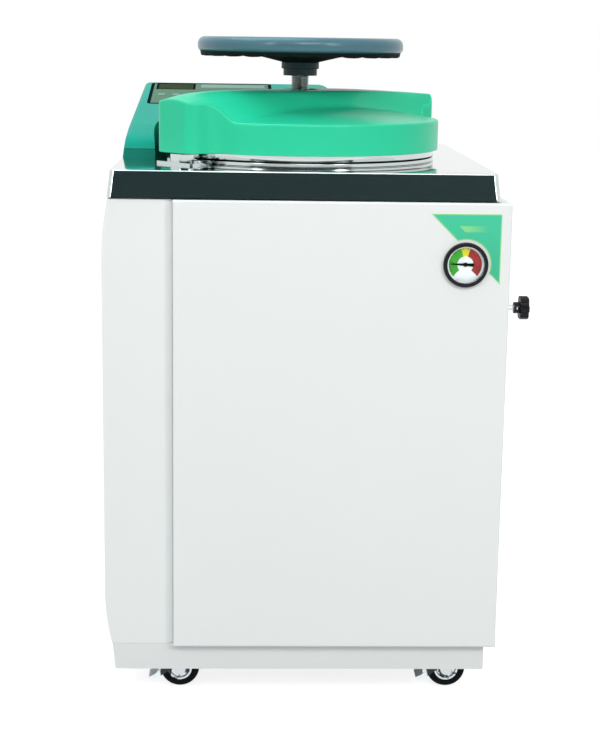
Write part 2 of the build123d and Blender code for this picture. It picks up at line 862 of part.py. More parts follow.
with BuildPart() as latch_keeper:
    with BuildSketch(
        Plane((vessel_x, vessel_y, plate_top), x_dir=over_vessel(0).x_dir, z_dir=-over_vessel(0).y_dir)
    ):
        with BuildLine():
            Polyline(
                (keeper_inner, 0),
                (keeper_outer + keeper_tab, 0),
                (keeper_outer + keeper_tab, hinge_base_height),
                (keeper_outer, hinge_base_height),
                (keeper_outer, keeper_top - plate_top),
                (lip_inner, keeper_top - plate_top),
                (lip_inner, lip_low - plate_top),
                (keeper_outer - keeper_lip, lip_low - plate_top),
                (keeper_outer - keeper_lip, keeper_base),
                (keeper_inner, keeper_base),
                close=True,
            )
        make_face()
    extrude(amount=keeper_width / 2, both=True)
    with BuildSketch(over_vessel(plate_top)):
        with Locations(*keeper_bolt_places):
            Circle(bolt_radius + seat_gap)
    extrude(amount=hinge_base_height, mode=Mode.SUBTRACT)
save(latch_keeper, "latch_keeper")

with BuildPart() as plate_bolts:
    with BuildSketch(over_vessel(plate_top + hinge_base_height)):
        with Locations(*hinge_bolt_places, *keeper_bolt_places):
            Circle(bolt_head_radius)
    extrude(amount=bolt_head_height)
    with BuildSketch(over_vessel(plate_top + hinge_base_height)):
        with Locations(*hinge_bolt_places, *keeper_bolt_places):
            Circle(bolt_radius)
    extrude(amount=-bolt_length)
    fillet(plate_bolts.edges().filter_by(GeomType.CIRCLE).group_by(Axis.Z)[-1], 2.0)
    with BuildSketch(over_vessel(plate_top + hinge_base_height + bolt_head_height)):
        with Locations(*hinge_bolt_places, *keeper_bolt_places):
            RegularPolygon(2.5, 6)
    extrude(amount=-2.0, mode=Mode.SUBTRACT)
save(plate_bolts, "plate_bolts")

# ---------------------------------------------------------------- screw, lid disc and handwheel
with BuildPart() as screw_nut:
    with BuildSketch(over_vessel(nut_seat)):
        Circle(nut_flange)
    extrude(amount=nut_flange_height)
    with BuildSketch(over_vessel(beam_low)):
        Circle(nut_radius)
    extrude(amount=beam_thickness + 6.0)
    with BuildSketch(over_vessel(nut_seat)):
        Circle(screw_radius + fit_gap)
    extrude(amount=beam_thickness + nut_flange_height + 6.0, mode=Mode.SUBTRACT)
save(screw_nut, "screw_nut")

with BuildPart() as lid_disc:
    with BuildSketch(over_vessel(lid_bottom)):
        Circle(flange_radius)
    extrude(amount=lid_thickness)
    fillet(lid_disc.faces().sort_by(Axis.Z)[0].edges(), 1.0)
    fillet(lid_disc.faces().sort_by(Axis.Z)[-1].edges(), 3.0)
    with BuildSketch(over_vessel(lid_top)):
        with Locations((-guide_spacing, 0), (guide_spacing, 0)):
            Circle(guide_radius)
    extrude(amount=-lid_thickness / 2, mode=Mode.SUBTRACT)
save(lid_disc, "lid_disc")

with BuildPart() as thrust_housing:
    with BuildSketch(over_vessel(lid_top)):
        Circle(housing_radius)
    extrude(amount=housing_height)
    fillet(thrust_housing.faces().sort_by(Axis.Z)[-1].edges(), 2.0)
    with BuildSketch(over_vessel(housing_top)):
        Circle(screw_stud + fit_gap)
    extrude(amount=-journal_depth, mode=Mode.SUBTRACT)
save(thrust_housing, "thrust_housing")

with BuildPart() as guide_rods:
    with BuildSketch(over_vessel(lid_top - lid_thickness / 2)):
        with Locations((-guide_spacing, 0), (guide_spacing, 0)):
            Circle(guide_radius)
    extrude(amount=guide_length + lid_thickness / 2)
    chamfer(guide_rods.faces().group_by(Axis.Z)[-1].edges(), 1.0)
save(guide_rods, "guide_rods")

stud_top = rim_high - 12.0
hub_top = stud_top - wheel_nut_height

with BuildPart() as clamp_screw:
    with BuildSketch(over_vessel(housing_top + seat_gap - journal_depth)):
        Circle(screw_stud)
    extrude(amount=stud_top - housing_top - seat_gap + journal_depth)
    with BuildSketch(over_vessel(housing_top + seat_gap)):
        Circle(screw_radius)
    extrude(amount=hub_low - housing_top - seat_gap)
save(clamp_screw, "clamp_screw")

with BuildPart() as handwheel_hub:
    with BuildSketch(over_vessel(hub_low)):
        Circle(hub_lower_radius)
    extrude(amount=hub_step)
    with BuildSketch(over_vessel(hub_middle)):
        Circle(hub_upper_radius)
    extrude(amount=hub_step)
    chamfer(handwheel_hub.edges().filter_by(GeomType.CIRCLE).group_by(SortBy.RADIUS)[-1], 0.8)
    with BuildSketch(over_vessel(hub_low)):
        Circle(screw_stud)
    extrude(amount=2 * hub_step, mode=Mode.SUBTRACT)
save(handwheel_hub, "handwheel_hub")

rim_middle = wheel_radius - wheel_rim_width / 2
web_join = rim_middle - wheel_rim_width / 2 + web_overlap
web_rise = rim_low + web_thickness / 2

with BuildPart() as handwheel:
    with BuildSketch(Plane((vessel_x, vessel_y, 0), x_dir=(1, 0, 0), z_dir=(0, -1, 0))):
        with Locations((rim_middle, rim_low + wheel_rim_height / 2)):
            RectangleRounded(wheel_rim_width, wheel_rim_height, wheel_rim_height / 2 - 0.1)
        with Locations((rim_middle, rim_low - grip_depth / 2 + 3.0)):
            RectangleRounded(grip_width, grip_depth + 6.0, 4.0)
        with BuildLine():
            Polyline(
                (screw_stud, hub_high),
                (hub_upper_radius, hub_high),
                (web_knee, hub_high + web_knee_rise),
                (web_join, web_rise),
                (web_join, web_rise + web_thickness),
                (web_knee, hub_high + web_knee_rise + web_thickness),
                (hub_upper_radius, hub_top),
                (screw_stud, hub_top),
                close=True,
            )
        make_face()
    revolve(axis=Axis((vessel_x, vessel_y, 0), (0, 0, 1)))
    # Shallow notches across the underside of the rim part the finger grips.
    for step in range(grip_count):
        turn = 2 * math.pi * (step + 0.5) / grip_count
        outward = (math.cos(turn), math.sin(turn), 0)
        notch_z = rim_low - grip_depth - grip_notch + grip_notch_depth
        with BuildSketch(Plane((vessel_x, vessel_y, notch_z), z_dir=outward).offset(web_join)):
            Circle(grip_notch)
        extrude(amount=wheel_rim_width, mode=Mode.SUBTRACT)
save(handwheel, "handwheel")

with BuildPart() as wheel_nut:
    with BuildSketch(over_vessel(hub_top)):
        RegularPolygon(wheel_nut_radius, 6)
        Circle(screw_stud, mode=Mode.SUBTRACT)
    extrude(amount=wheel_nut_height)
    chamfer(wheel_nut.faces().sort_by(Axis.Z)[-1].outer_wire().edges(), 0.8)
save(wheel_nut, "wheel_nut")

# ---------------------------------------------------------------- control console
slope_rise = math.tan(math.radians(console_slope))
crest_height = console_slope_height + slope_rise * (console_crest - console_slope_start)
crest_low = plate_top + crest_height / 2


def faces_sideways(face):
    """Whether a face looks left or right."""
    return abs(face.normal_at().X) > 0.9


def console_slab(inset):
    """Wedge-shaped console with a leaning left side and a bay cut round the lid."""
    base = plate_top if inset == 0 else plate_top - 1.0
    drop = inset / math.cos(math.radians(console_slope))
    lean = math.tan(math.radians(console_lean))
    tall = crest_height + 2 * console_edge
    with BuildSketch(facing_right(console_left)) as side:
        with BuildLine():
            Polyline(
                (console_front + inset, base),
                (console_front + console_lip * lean + inset, plate_top + console_lip - drop),
                (console_slope_start, plate_top + console_slope_height - drop),
                (console_crest, plate_top + crest_height - drop),
                (console_back - inset, plate_top + crest_height - drop - 6.0),
                (console_back - inset, base),
                close=True,
            )
        make_face()
        fillet(side.vertices().sort_by(Axis.X)[1], console_round - inset)
        fillet(side.vertices().group_by(Axis.Y)[-1], console_edge - inset / 2)
    with BuildSketch(facing_front(0)) as front:
        with BuildLine():
            Polyline(
                (console_left + inset, base),
                (console_right - inset, base),
                (console_right - inset - 4.0, plate_top + tall),
                (console_left + inset + tall * lean, plate_top + tall),
                close=True,
            )
        make_face()
    with BuildSketch(over_vessel(base)) as bay:
        Circle(cover_radius + console_clear + inset)
    with BuildPart() as slab:
        extrude(side.sketch, amount=console_right - console_left)
        extrude(front.sketch, amount=-case_back * 2, mode=Mode.INTERSECT)
        right_edges = slab.faces().filter_by(faces_sideways).sort_by(Axis.X)[-1].edges()
        fillet(right_edges.filter_by(lambda e: e.center().Z > crest_low), console_end - inset)
        extrude(bay.sketch, amount=tall * 2, mode=Mode.SUBTRACT)
        left_edges = slab.faces().filter_by(faces_sideways).sort_by(Axis.X)[0].edges()
        fillet(left_edges.filter_by(lambda e: e.center().Z > base + 1.0), console_edge - inset / 2)
    return slab.part


outer_slab = console_slab(0)
inner_slab = console_slab(console_wall)

slope_turn = math.radians(console_slope)
slope_height = plate_top + console_slope_height + slope_rise * (fascia_middle - console_slope_start)
fascia_middle_x = (fascia_left + fascia_right) / 2
key_places = [(key_first_x + step * key_pitch, key_y) for step in range(len(key_names))]
board_width = 104.0
board_length = 104.0
board_x = -197.0
board_y = 24.0


def on_slope(height):
    """Plane parallel to the console's sloping face, at a height off it."""
    face = Plane(
        (case_x, case_y + fascia_middle, slope_height),
        x_dir=(1, 0, 0),
        z_dir=(0, -math.sin(slope_turn), math.cos(slope_turn)),
    )
    return face.offset(height)


def fascia_plate(grow, low, thick):
    """Rounded panel on the slope with its lower right corner curved round the lid."""
    with BuildPart() as panel:
        with BuildSketch(on_slope(low)):
            with Locations((fascia_middle_x, 0)):
                RectangleRounded(
                    fascia_right - fascia_left + 2 * grow, fascia_length + 2 * grow, 8.0 + grow
                )
        extrude(amount=thick)
        with BuildSketch(over_vessel(plate_top)):
            Circle(cover_radius + console_clear + fascia_arc_margin - grow)
        extrude(amount=4 * console_edge + crest_height, mode=Mode.SUBTRACT)
    return panel.part


fascia_pocket = fascia_plate(seat_gap, -fascia_recess, 4 * fascia_recess)
fascia_blank = fascia_plate(0, -fascia_recess, fascia_thickness)

with BuildPart() as console_housing:
    add(outer_slab)
    add(inner_slab, mode=Mode.SUBTRACT)
    add(fascia_pocket, mode=Mode.SUBTRACT)
    with BuildSketch(on_slope(-board_gap)):
        with Locations((board_x, board_y)):
            with GridLocations(board_width - 8.0, board_length - 8.0, 2, 2):
                Circle(3.5)
    extrude(amount=board_gap - console_wall + 0.5)
    with BuildSketch(on_slope(-board_gap)):
        with Locations((display_x, display_y)):
            Rectangle(display_width + 2 * seat_gap, display_length + 2 * seat_gap)
        with Locations(*key_places):
            Circle(key_radius + seat_gap)
    extrude(amount=2 * board_gap, mode=Mode.SUBTRACT)
save(console_housing, "console_housing")

with BuildPart() as console_fascia:
    add(fascia_blank)
    with BuildSketch(on_slope(-fascia_recess)):
        with Locations((display_x, display_y)):
            Rectangle(display_width + 2 * seat_gap, display_length + 2 * seat_gap)
        with Locations(*key_places):
            Circle(key_radius + seat_gap)
    extrude(amount=2 * fascia_thickness, mode=Mode.SUBTRACT)
save(console_fascia, "console_fascia")

with BuildPart() as display_window:
    with BuildSketch(on_slope(-board_gap)):
        with Locations((display_x, display_y)):
            Rectangle(display_width, display_length)
    extrude(amount=board_gap + fascia_thickness - fascia_recess - 0.1)
save(display_window, "display_window")

with BuildPart() as control_board:
    with BuildSketch(on_slope(-board_gap)):
        with Locations((board_x, board_y)):
            Rectangle(board_width, board_length)
    extrude(amount=-board_thickness)
save(control_board, "control_board")

for place, name in zip(key_places, key_names):
    with BuildPart() as key:
        with BuildSketch(on_slope(key_travel + 0.1 - board_gap)):
            with Locations(place):
                Circle(key_radius + 2.0)
        extrude(amount=board_gap - console_wall - key_travel - 0.1 - seat_gap)
        with BuildSketch(on_slope(key_travel + 0.1 - board_gap)):
            with Locations(place):
                Circle(key_radius)
        extrude(amount=board_gap - key_travel - 0.1 + 1.3)
        fillet(key.faces().sort_by(Axis.Z)[-1].edges(), 0.5)
    save(key, name)

# ---------------------------------------------------------------- pressure gauge and badge
face_depth = 8.5
glass_thickness = 2.0
dial_thickness = 1.0
pointer_length = 19.0
pointer_tail = 9.0
gauge_axle = 1.5
dial_front = -front_proud - gauge_proud + face_depth

with BuildPart() as gauge_case:
    with BuildSketch(facing_front(gauge_front)):
        with Locations((gauge_x, gauge_z)):
            Circle(gauge_bezel_radius)
    extrude(amount=-gauge_proud)
    fillet(gauge_case.faces().sort_by(Axis.Y)[0].edges(), 2.0)
    with BuildSketch(facing_front(-front_proud)):
        with Locations((gauge_x, gauge_z)):
            Circle(gauge_case_radius)
    extrude(amount=-(gauge_body - gauge_proud))
    with BuildSketch(facing_front(gauge_front + gauge_body)):
        with Locations((gauge_x, gauge_z)):
            Circle(gauge_stem)
    extrude(amount=-12.0)
    with BuildSketch(facing_front(gauge_front)):
        with Locations((gauge_x, gauge_z)):
            Circle(gauge_face_radius)
    extrude(amount=-(face_depth + dial_thickness), mode=Mode.SUBTRACT)
    with BuildSketch(facing_front(dial_front)):
        with Locations((gauge_x, gauge_z)):
            Circle(gauge_axle + fit_gap)
    extrude(amount=-6.0, mode=Mode.SUBTRACT)
save(gauge_case, "gauge_case")

with BuildPart() as gauge_dial:
    with BuildSketch(facing_front(dial_front)):
        with Locations((gauge_x, gauge_z)):
            Circle(gauge_face_radius - fit_gap)
            Circle(gauge_axle + fit_gap, mode=Mode.SUBTRACT)
    extrude(amount=-dial_thickness)
save(gauge_dial, "gauge_dial")

with BuildPart() as gauge_glass:
    with BuildSketch(facing_front(gauge_front + 1.0)):
        with Locations((gauge_x, gauge_z)):
            Circle(gauge_face_radius - fit_gap)
    extrude(amount=-glass_thickness)
save(gauge_glass, "gauge_glass")

# The pointer lies level at rest, its tip to the left.
with BuildPart() as gauge_pointer:
    with BuildSketch(facing_front(dial_front - 2.0)):
        with BuildLine():
            Polyline(
                (gauge_x - pointer_length, gauge_z),
                (gauge_x, gauge_z - 1.6),
                (gauge_x + pointer_tail, gauge_z - 2.4),
                (gauge_x + pointer_tail, gauge_z + 2.4),
                (gauge_x, gauge_z + 1.6),
                close=True,
            )
        make_face()
        with Locations((gauge_x, gauge_z)):
            Circle(3.0)
    extrude(amount=-1.0)
    with BuildSketch(facing_front(dial_front - 1.0)):
        with Locations((gauge_x, gauge_z)):
            Circle(gauge_axle)
    extrude(amount=-6.0)
save(gauge_pointer, "gauge_pointer")

with BuildPart() as front_badge:
    with BuildSketch(facing_front(-front_proud)):
        with BuildLine():
            Polyline(
                (badge_left, badge_top),
                (badge_left + badge_side, badge_top),
                (badge_left + badge_side, badge_top - badge_side),
                close=True,
            )
        make_face()
        with Locations((gauge_x, gauge_z)):
            Circle(gauge_bezel_radius + badge_clear, mode=Mode.SUBTRACT)
    extrude(amount=badge_thickness)
save(front_badge, "front_badge")

with BuildPart() as pressure_line:
    with BuildLine(Plane((case_x, case_y, gauge_z))) as line_path:
        FilletPolyline(
            (0, vessel_to_front - port_reach),
            (0, 50.0),
            (gauge_x, 50.0),
            (gauge_x, gauge_front + gauge_body + 12.0),
            radius=15.0,
        )
    with BuildSketch(facing_front(vessel_to_front - port_reach)):
        with Locations((0, gauge_z)):
            Circle(line_radius)
    sweep(path=line_path.wires()[0])
save(pressure_line, "pressure_line")

# ---------------------------------------------------------------- exhaust, safety valve and drain
valve_back = 225.0
valve_front = valve_back + valve_body_size
valve_middle = (valve_back + valve_front) / 2
neck_end = case_right + valve_neck_proud
collar_thickness = 3.0

with BuildPart() as exhaust_valve:
    with BuildSketch(facing_right(valve_back)):
        with Locations((valve_y, port_height)):
            Rectangle(valve_body_size, valve_body_size)
    extrude(amount=valve_body_size)
    fillet(exhaust_valve.edges().filter_by(Axis.X), 3.0)
    with BuildSketch(facing_right(valve_front)):
        with Locations((valve_y, port_height)):
            Circle(valve_neck)
    extrude(amount=neck_end - valve_front)
    with BuildSketch(facing_right(case_right - sheet - seat_gap - collar_thickness)):
        with Locations((valve_y, port_height)):
            RegularPolygon(12.0, 6)
    extrude(amount=collar_thickness)
    with BuildSketch(facing_right(valve_middle)):
        with Locations((valve_y, port_height)):
            Circle(stem_radius + fit_gap)
    extrude(amount=neck_end - valve_middle, mode=Mode.SUBTRACT)
save(exhaust_valve, "exhaust_valve")

knob_face = case_right + knob_reach
hub_face = knob_face - knob_thickness

with BuildPart() as exhaust_stem:
    with BuildSketch(facing_right(valve_middle + 2.0)):
        with Locations((valve_y, port_height)):
            Circle(stem_radius)
    extrude(amount=knob_face - 6.0 - valve_middle - 2.0)
save(exhaust_stem, "exhaust_stem")

with BuildPart() as exhaust_knob:
    with BuildSketch(facing_right(hub_face)):
        with Locations((valve_y, port_height)):
            Circle(knob_radius)
            with PolarLocations(knob_radius + 3.5, knob_lobes, start_angle=30):
                Circle(6.5, mode=Mode.SUBTRACT)
    extrude(amount=knob_thickness)
    fillet(exhaust_knob.faces().sort_by(Axis.X)[-1].edges(), 2.0)
    with BuildSketch(facing_right(hub_face - knob_hub_length)):
        with Locations((valve_y, port_height)):
            Circle(knob_hub_radius)
    extrude(amount=knob_hub_length)
    with BuildSketch(facing_right(hub_face - knob_hub_length)):
        with Locations((valve_y, port_height)):
            Circle(stem_radius)
    extrude(amount=knob_hub_length + knob_thickness - 6.0, mode=Mode.SUBTRACT)
save(exhaust_knob, "exhaust_knob")

with BuildPart() as exhaust_pipe:
    with BuildLine(Plane((case_x, case_y, port_height))) as exhaust_path:
        FilletPolyline(
            (port_reach, vessel_to_front),
            (valve_middle, vessel_to_front),
            (valve_middle, valve_y + valve_body_size / 2),
            radius=24.0,
        )
    with BuildSketch(facing_right(port_reach)):
        with Locations((vessel_to_front, port_height)):
            Circle(port_radius - 2.0)
    sweep(path=exhaust_path.wires()[0])
save(exhaust_pipe, "exhaust_pipe")

relief_y = vessel_to_front + port_reach

with BuildPart() as safety_valve:
    with BuildSketch(facing_front(relief_y)):
        with Locations((0, port_height)):
            Circle(port_radius)
    extrude(amount=-14.0)
    with BuildSketch(level(port_height - 16.0)):
        with Locations((0, relief_y + 25.0)):
            RegularPolygon(14.0, 6)
    extrude(amount=30.0)
    with BuildSketch(level(port_height + 14.0)):
        with Locations((0, relief_y + 25.0)):
            Circle(10.0)
    extrude(amount=40.0)
    with BuildSketch(level(port_height + 54.0)):
        with Locations((0, relief_y + 25.0)):
            Circle(12.0)
    extrude(amount=6.0)
save(safety_valve, "safety_valve")

drain_turn = 40.0

with BuildPart() as drain_valve:
    with BuildSketch(level(drain_height - 14.0)):
        with Locations((0, vessel_to_front)):
            RectangleRounded(32.0, 32.0, 4.0)
    extrude(amount=drain_port_low - drain_height + 14.0)
    with BuildLine(Plane((case_x, case_y, drain_height))) as drain_path:
        FilletPolyline(
            (0, vessel_to_front + 10.0),
            (0, vessel_to_front + 120.0),
            (drain_x, vessel_to_front + 180.0),
            (drain_x, rear_end - spigot_length),
            radius=drain_turn,
        )
    with BuildSketch(facing_front(vessel_to_front + 10.0)):
        with Locations((0, drain_height)):
            Circle(drain_radius)
    sweep(path=drain_path.wires()[0])
    # The free end is a spigot for a hose.
    with BuildSketch(facing_front(rear_end - spigot_length)):
        with Locations((drain_x, drain_height)):
            Circle(spigot_radius)
    extrude(amount=-spigot_length)
    with BuildSketch(facing_front(rear_end)):
        with Locations((drain_x, drain_height)):
            Circle(spigot_radius - spigot_wall)
    extrude(amount=3 * spigot_length, mode=Mode.SUBTRACT)
save(drain_valve, "drain_valve")

# ---------------------------------------------------------------- electrics at the back
with BuildPart(level(0)) as electrical_box:
    with Locations((box_x, post_back - box_depth / 2, box_bottom + box_height / 2)):
        Box(box_width, box_depth, box_height)
    fillet(electrical_box.edges().filter_by(Axis.Y), 4.0)
save(electrical_box, "electrical_box")

with BuildPart() as cable_gland:
    with BuildSketch(facing_front(post_back - 14.0)):
        with Locations((gland_x, gland_height)):
            Circle(gland_radius)
    extrude(amount=-(14.0 + sheet))
    with BuildSketch(facing_front(post_back + sheet)):
        with Locations((gland_x, gland_height)):
            RegularPolygon(gland_radius + 5.0, 6)
    extrude(amount=-6.0)
    with BuildSketch(facing_front(post_back + sheet + 6.0)):
        with Locations((gland_x, gland_height)):
            Circle(gland_radius + 1.0)
    extrude(amount=-(gland_proud - 8.0))
    fillet(cable_gland.faces().sort_by(Axis.Y)[-1].edges(), 3.0)
    with BuildSketch(facing_front(post_back - 14.0)):
        with Locations((gland_x, gland_height)):
            Circle(gland_bore)
    extrude(amount=-2 * gland_proud, mode=Mode.SUBTRACT)
save(cable_gland, "cable_gland")

# ---------------------------------------------------------------- casters
caster_places = {
    "front_left": (caster_left, caster_front),
    "front_right": (caster_right, caster_front),
    "rear_left": (caster_left, caster_rear),
    "rear_right": (caster_right, caster_rear),
}
braked = ["front_left", "front_right"]
head_low = fork_top + 1.0
plate_low = tray_floor - caster_plate_thickness
leg_inner = caster_width / 2 + fork_side_gap
leg_outer = leg_inner + fork_sheet
arm_inner = leg_outer + seat_gap
arm_outer = arm_inner + pedal_sheet
king_pin = 5.0

with BuildPart() as caster_plates:
    with BuildSketch(level(plate_low)):
        with Locations(*caster_places.values()):
            RectangleRounded(caster_plate, caster_plate, caster_plate_corner)
            with GridLocations(caster_bolt_span, caster_bolt_span, 2, 2):
                Circle(caster_bolt_hole, mode=Mode.SUBTRACT)
    extrude(amount=caster_plate_thickness)
    with BuildSketch(level(head_low)):
        with Locations(*caster_places.values()):
            Circle(swivel_radius)
    extrude(amount=plate_low - head_low)
    with BuildSketch(level(fork_top - fork_sheet - seat_gap)):
        with Locations(*caster_places.values()):
            Circle(king_pin)
    extrude(amount=head_low - fork_top + fork_sheet + seat_gap)
    with BuildSketch(level(fork_top - fork_sheet - seat_gap - 2.0)):
        with Locations(*caster_places.values()):
            Circle(king_pin + 2.0)
    extrude(amount=2.0)
save(caster_plates, "caster_plates")

for place, (x, y) in caster_places.items():
    axle_x = x + caster_trail

    with BuildPart() as fork:
        with BuildSketch(level(fork_top - fork_sheet)):
            with Locations((x + fork_crown_offset, y)):
                RectangleRounded(fork_crown, 2 * leg_outer, fork_crown_corner)
            with Locations((x, y)):
                Circle(king_pin + fit_gap, mode=Mode.SUBTRACT)
        extrude(amount=fork_sheet)
        for side in (1, -1):
            with BuildSketch(facing_front(y + side * (leg_inner + leg_outer) / 2)):
                with BuildLine():
                    Polyline(
                        (x - 14.0, fork_top),
                        (x + 30.0, fork_top),
                        (axle_x + 9.0, fork_wheel_z),
                        (axle_x - 9.0, fork_wheel_z),
                        close=True,
                    )
                make_face()
                with Locations((axle_x, fork_wheel_z)):
                    Circle(9.0)
            extrude(amount=fork_sheet / 2, both=True)
        with BuildSketch(facing_front(y)):
            with Locations((axle_x, fork_wheel_z)):
                Circle(caster_axle)
        extrude(amount=leg_outer + 1.5, both=True)
        if place in braked:
            with BuildSketch(facing_front(y)):
                with Locations((axle_x - pedal_pivot_back, fork_wheel_z + pedal_pivot_up)):
                    Circle(2.5)
            extrude(amount=arm_outer + 1.0, both=True)
            with BuildSketch(facing_front(y)):
                with Locations((axle_x - pedal_pivot_back, fork_wheel_z + pedal_pivot_up)):
                    Circle(2.5)
            extrude(amount=leg_inner, both=True, mode=Mode.SUBTRACT)
    save(fork, f"caster_fork_{place}")

    with BuildPart() as wheel:
        with BuildSketch(facing_front(y)):
            with Locations((axle_x, fork_wheel_z)):
                Circle(fork_wheel_z)
        extrude(amount=caster_width / 2, both=True)
        fillet(wheel.edges().filter_by(GeomType.CIRCLE), 3.5)
        with BuildSketch(facing_front(y)):
            with Locations((axle_x, fork_wheel_z)):
                Circle(fork_wheel_z - tyre_thickness - 4.0)
        extrude(amount=caster_width / 2 + 1.0, both=True)
        with BuildSketch(facing_front(y)):
            with Locations((axle_x, fork_wheel_z)):
                Circle(caster_axle + fit_gap)
        extrude(amount=caster_width, both=True, mode=Mode.SUBTRACT)
    save(wheel, f"caster_wheel_{place}")

for place in braked:
    x, y = caster_places[place]
    axle_x = x + caster_trail
    pivot_x = axle_x - pedal_pivot_back
    pivot_z = fork_wheel_z + pedal_pivot_up

    with BuildPart() as pedal:
        for side in (1, -1):
            with BuildSketch(facing_front(y + side * (arm_inner + arm_outer) / 2)):
                with BuildLine():
                    Polyline(
                        (pivot_x - 3.5, pivot_z + 3.5),
                        (pivot_x - 27.0, pivot_z - 16.0),
                        (pivot_x - 22.0, pivot_z - 22.0),
                        (pivot_x + 3.5, pivot_z - 3.5),
                        close=True,
                    )
                make_face()
                with Locations((pivot_x, pivot_z)):
                    Circle(5.0)
                    Circle(2.5 + fit_gap, mode=Mode.SUBTRACT)
            extrude(amount=pedal_sheet / 2, both=True)
        with BuildSketch(facing_front(y)):
            with BuildLine():
                Polyline(
                    (pivot_x - 24.0, pivot_z - 15.0),
                    (pivot_x - 36.0, pivot_z - 20.0),
                    (pivot_x - 35.0, pivot_z - 23.0),
                    (pivot_x - 22.0, pivot_z - 20.5),
                    close=True,
                )
            make_face()
        extrude(amount=arm_outer, both=True)
    save(pedal, f"brake_pedal_{place}")
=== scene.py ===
"""Vertical floor-standing autoclave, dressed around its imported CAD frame.

The frame gives the places and sizes: metres, +X to the right, +Y to the back, +Z up, with the floor
at Z = 0.  Each operator makes or finishes one group of pieces, and the sidebar panel lists them all.
"""

import json
import math

import bmesh
import bpy
import numpy as np
from bpy.props import FloatProperty, FloatVectorProperty, IntProperty, PointerProperty
from mathutils import Matrix, Vector


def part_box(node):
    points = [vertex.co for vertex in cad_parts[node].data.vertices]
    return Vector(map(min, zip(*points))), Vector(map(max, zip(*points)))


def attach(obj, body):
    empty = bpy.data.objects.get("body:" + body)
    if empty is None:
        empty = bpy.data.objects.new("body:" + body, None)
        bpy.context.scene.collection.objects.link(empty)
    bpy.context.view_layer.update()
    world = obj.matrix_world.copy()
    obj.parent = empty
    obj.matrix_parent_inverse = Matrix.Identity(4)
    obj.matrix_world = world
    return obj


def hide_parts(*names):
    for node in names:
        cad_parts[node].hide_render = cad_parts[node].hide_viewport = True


bl_info = {
    "name": "Vertical autoclave",
    "version": (1, 0, 0),
    "blender": (4, 5, 0),
    "location": "View3D > Sidebar > Autoclave",
    "description": "Finishes, lid cover, handwheel and fittings of a vertical autoclave",
    "category": "Object",
}

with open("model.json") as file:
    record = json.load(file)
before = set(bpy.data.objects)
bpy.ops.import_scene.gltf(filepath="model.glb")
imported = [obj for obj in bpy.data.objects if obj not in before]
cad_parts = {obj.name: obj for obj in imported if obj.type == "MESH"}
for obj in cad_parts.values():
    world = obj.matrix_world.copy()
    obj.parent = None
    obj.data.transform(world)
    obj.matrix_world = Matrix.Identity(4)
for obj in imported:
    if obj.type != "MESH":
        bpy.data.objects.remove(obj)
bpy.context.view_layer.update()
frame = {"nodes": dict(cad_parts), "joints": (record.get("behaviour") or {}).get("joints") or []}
MM = 0.001


# ---------------------------------------------------------------- places read from the frame
def low(node):
    """Lowest corner of a CAD node."""
    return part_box(node)[0]


def high(node):
    """Highest corner of a CAD node."""
    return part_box(node)[1]


def middle(node):
    """Middle of a CAD node's box."""
    return (low(node) + high(node)) / 2


WORKTOP = high("top_plate").z
RIM_DEPTH = 22.5 * MM
RIM_WIDTH = 26.0 * MM
VESSEL = Vector((middle("lid_disc").x, middle("lid_disc").y, WORKTOP))
GAUGE = Vector((middle("gauge_case").x, low("gauge_case").y, middle("gauge_case").z))
CASTERS = ("front_left", "front_right", "rear_left", "rear_right")
BRAKED = ("front_left", "front_right")
KEYS = ("key_set", "key_down", "key_up", "key_start")


# ---------------------------------------------------------------- settings
def colour(name, description, default):
    """Colour setting."""
    return FloatVectorProperty(
        name=name, description=description, default=default, subtype="COLOR", size=3, min=0, max=1
    )


def length(name, description, default):
    """Length setting in metres."""
    return FloatProperty(name=name, description=description, default=default, unit="LENGTH", min=0)


def watts(name, description, default):
    """Lamp power setting in watts."""
    return FloatProperty(name=name, description=description, default=default, unit="POWER", min=0)


def angle(name, description, default):
    """Angle setting in radians."""
    return FloatProperty(name=name, description=description, default=default, subtype="ANGLE")


class AutoclaveColours(bpy.types.PropertyGroup):
    """Colours of the finishes."""

    cabinet: colour("Cabinet", "Powder coat of the cabinet", (0.80, 0.82, 0.81))
    cover: colour("Lid cover", "Moulded lid cover", (0.020, 0.57, 0.315))
    console: colour("Console", "Moulded control console", (0.003, 0.34, 0.25))
    wheel: colour("Handwheel", "Enamel of the handwheel", (0.055, 0.150, 0.190))
    grip: colour("Grip", "Finger grip under the handwheel", (0.0025, 0.0035, 0.004))
    steel: colour("Steel", "Polished stainless steel", (0.66, 0.72, 0.71))
    zinc: colour("Zinc", "Bright zinc plating", (0.62, 0.66, 0.68))
    rubber: colour("Rubber", "Tyres and gasket", (0.002, 0.0022, 0.0024))
    black: colour("Black", "Gauge bezel, knob and gland", (0.0025, 0.004, 0.0045))
    badge: colour("Badge", "Printed badge round the gauge", (0.030, 0.52, 0.29))
    badge_edge: colour("Badge edge", "Border of the badge", (0.28, 0.72, 0.24))
    dial_green: colour("Dial green", "Low-pressure sector", (0.030, 0.36, 0.012))
    dial_yellow: colour("Dial yellow", "Working-pressure sector", (0.72, 0.68, 0.01))
    dial_red: colour("Dial red", "High-pressure sector", (0.34, 0.010, 0.010))
    membrane: colour("Membrane", "Membrane of the fascia", (0.15, 0.24, 0.17))
    label: colour("Label", "Pale printed field of the fascia", (0.30, 0.37, 0.33))
    pedal: colour("Pedal", "Tread of the brake pedals", (0.78, 0.84, 0.86))
    display: colour("Display", "Liquid-crystal display", (0.045, 0.055, 0.030))
    brass: colour("Brass", "Valves", (0.60, 0.42, 0.16))
    copper: colour("Copper", "Pipes", (0.68, 0.33, 0.18))


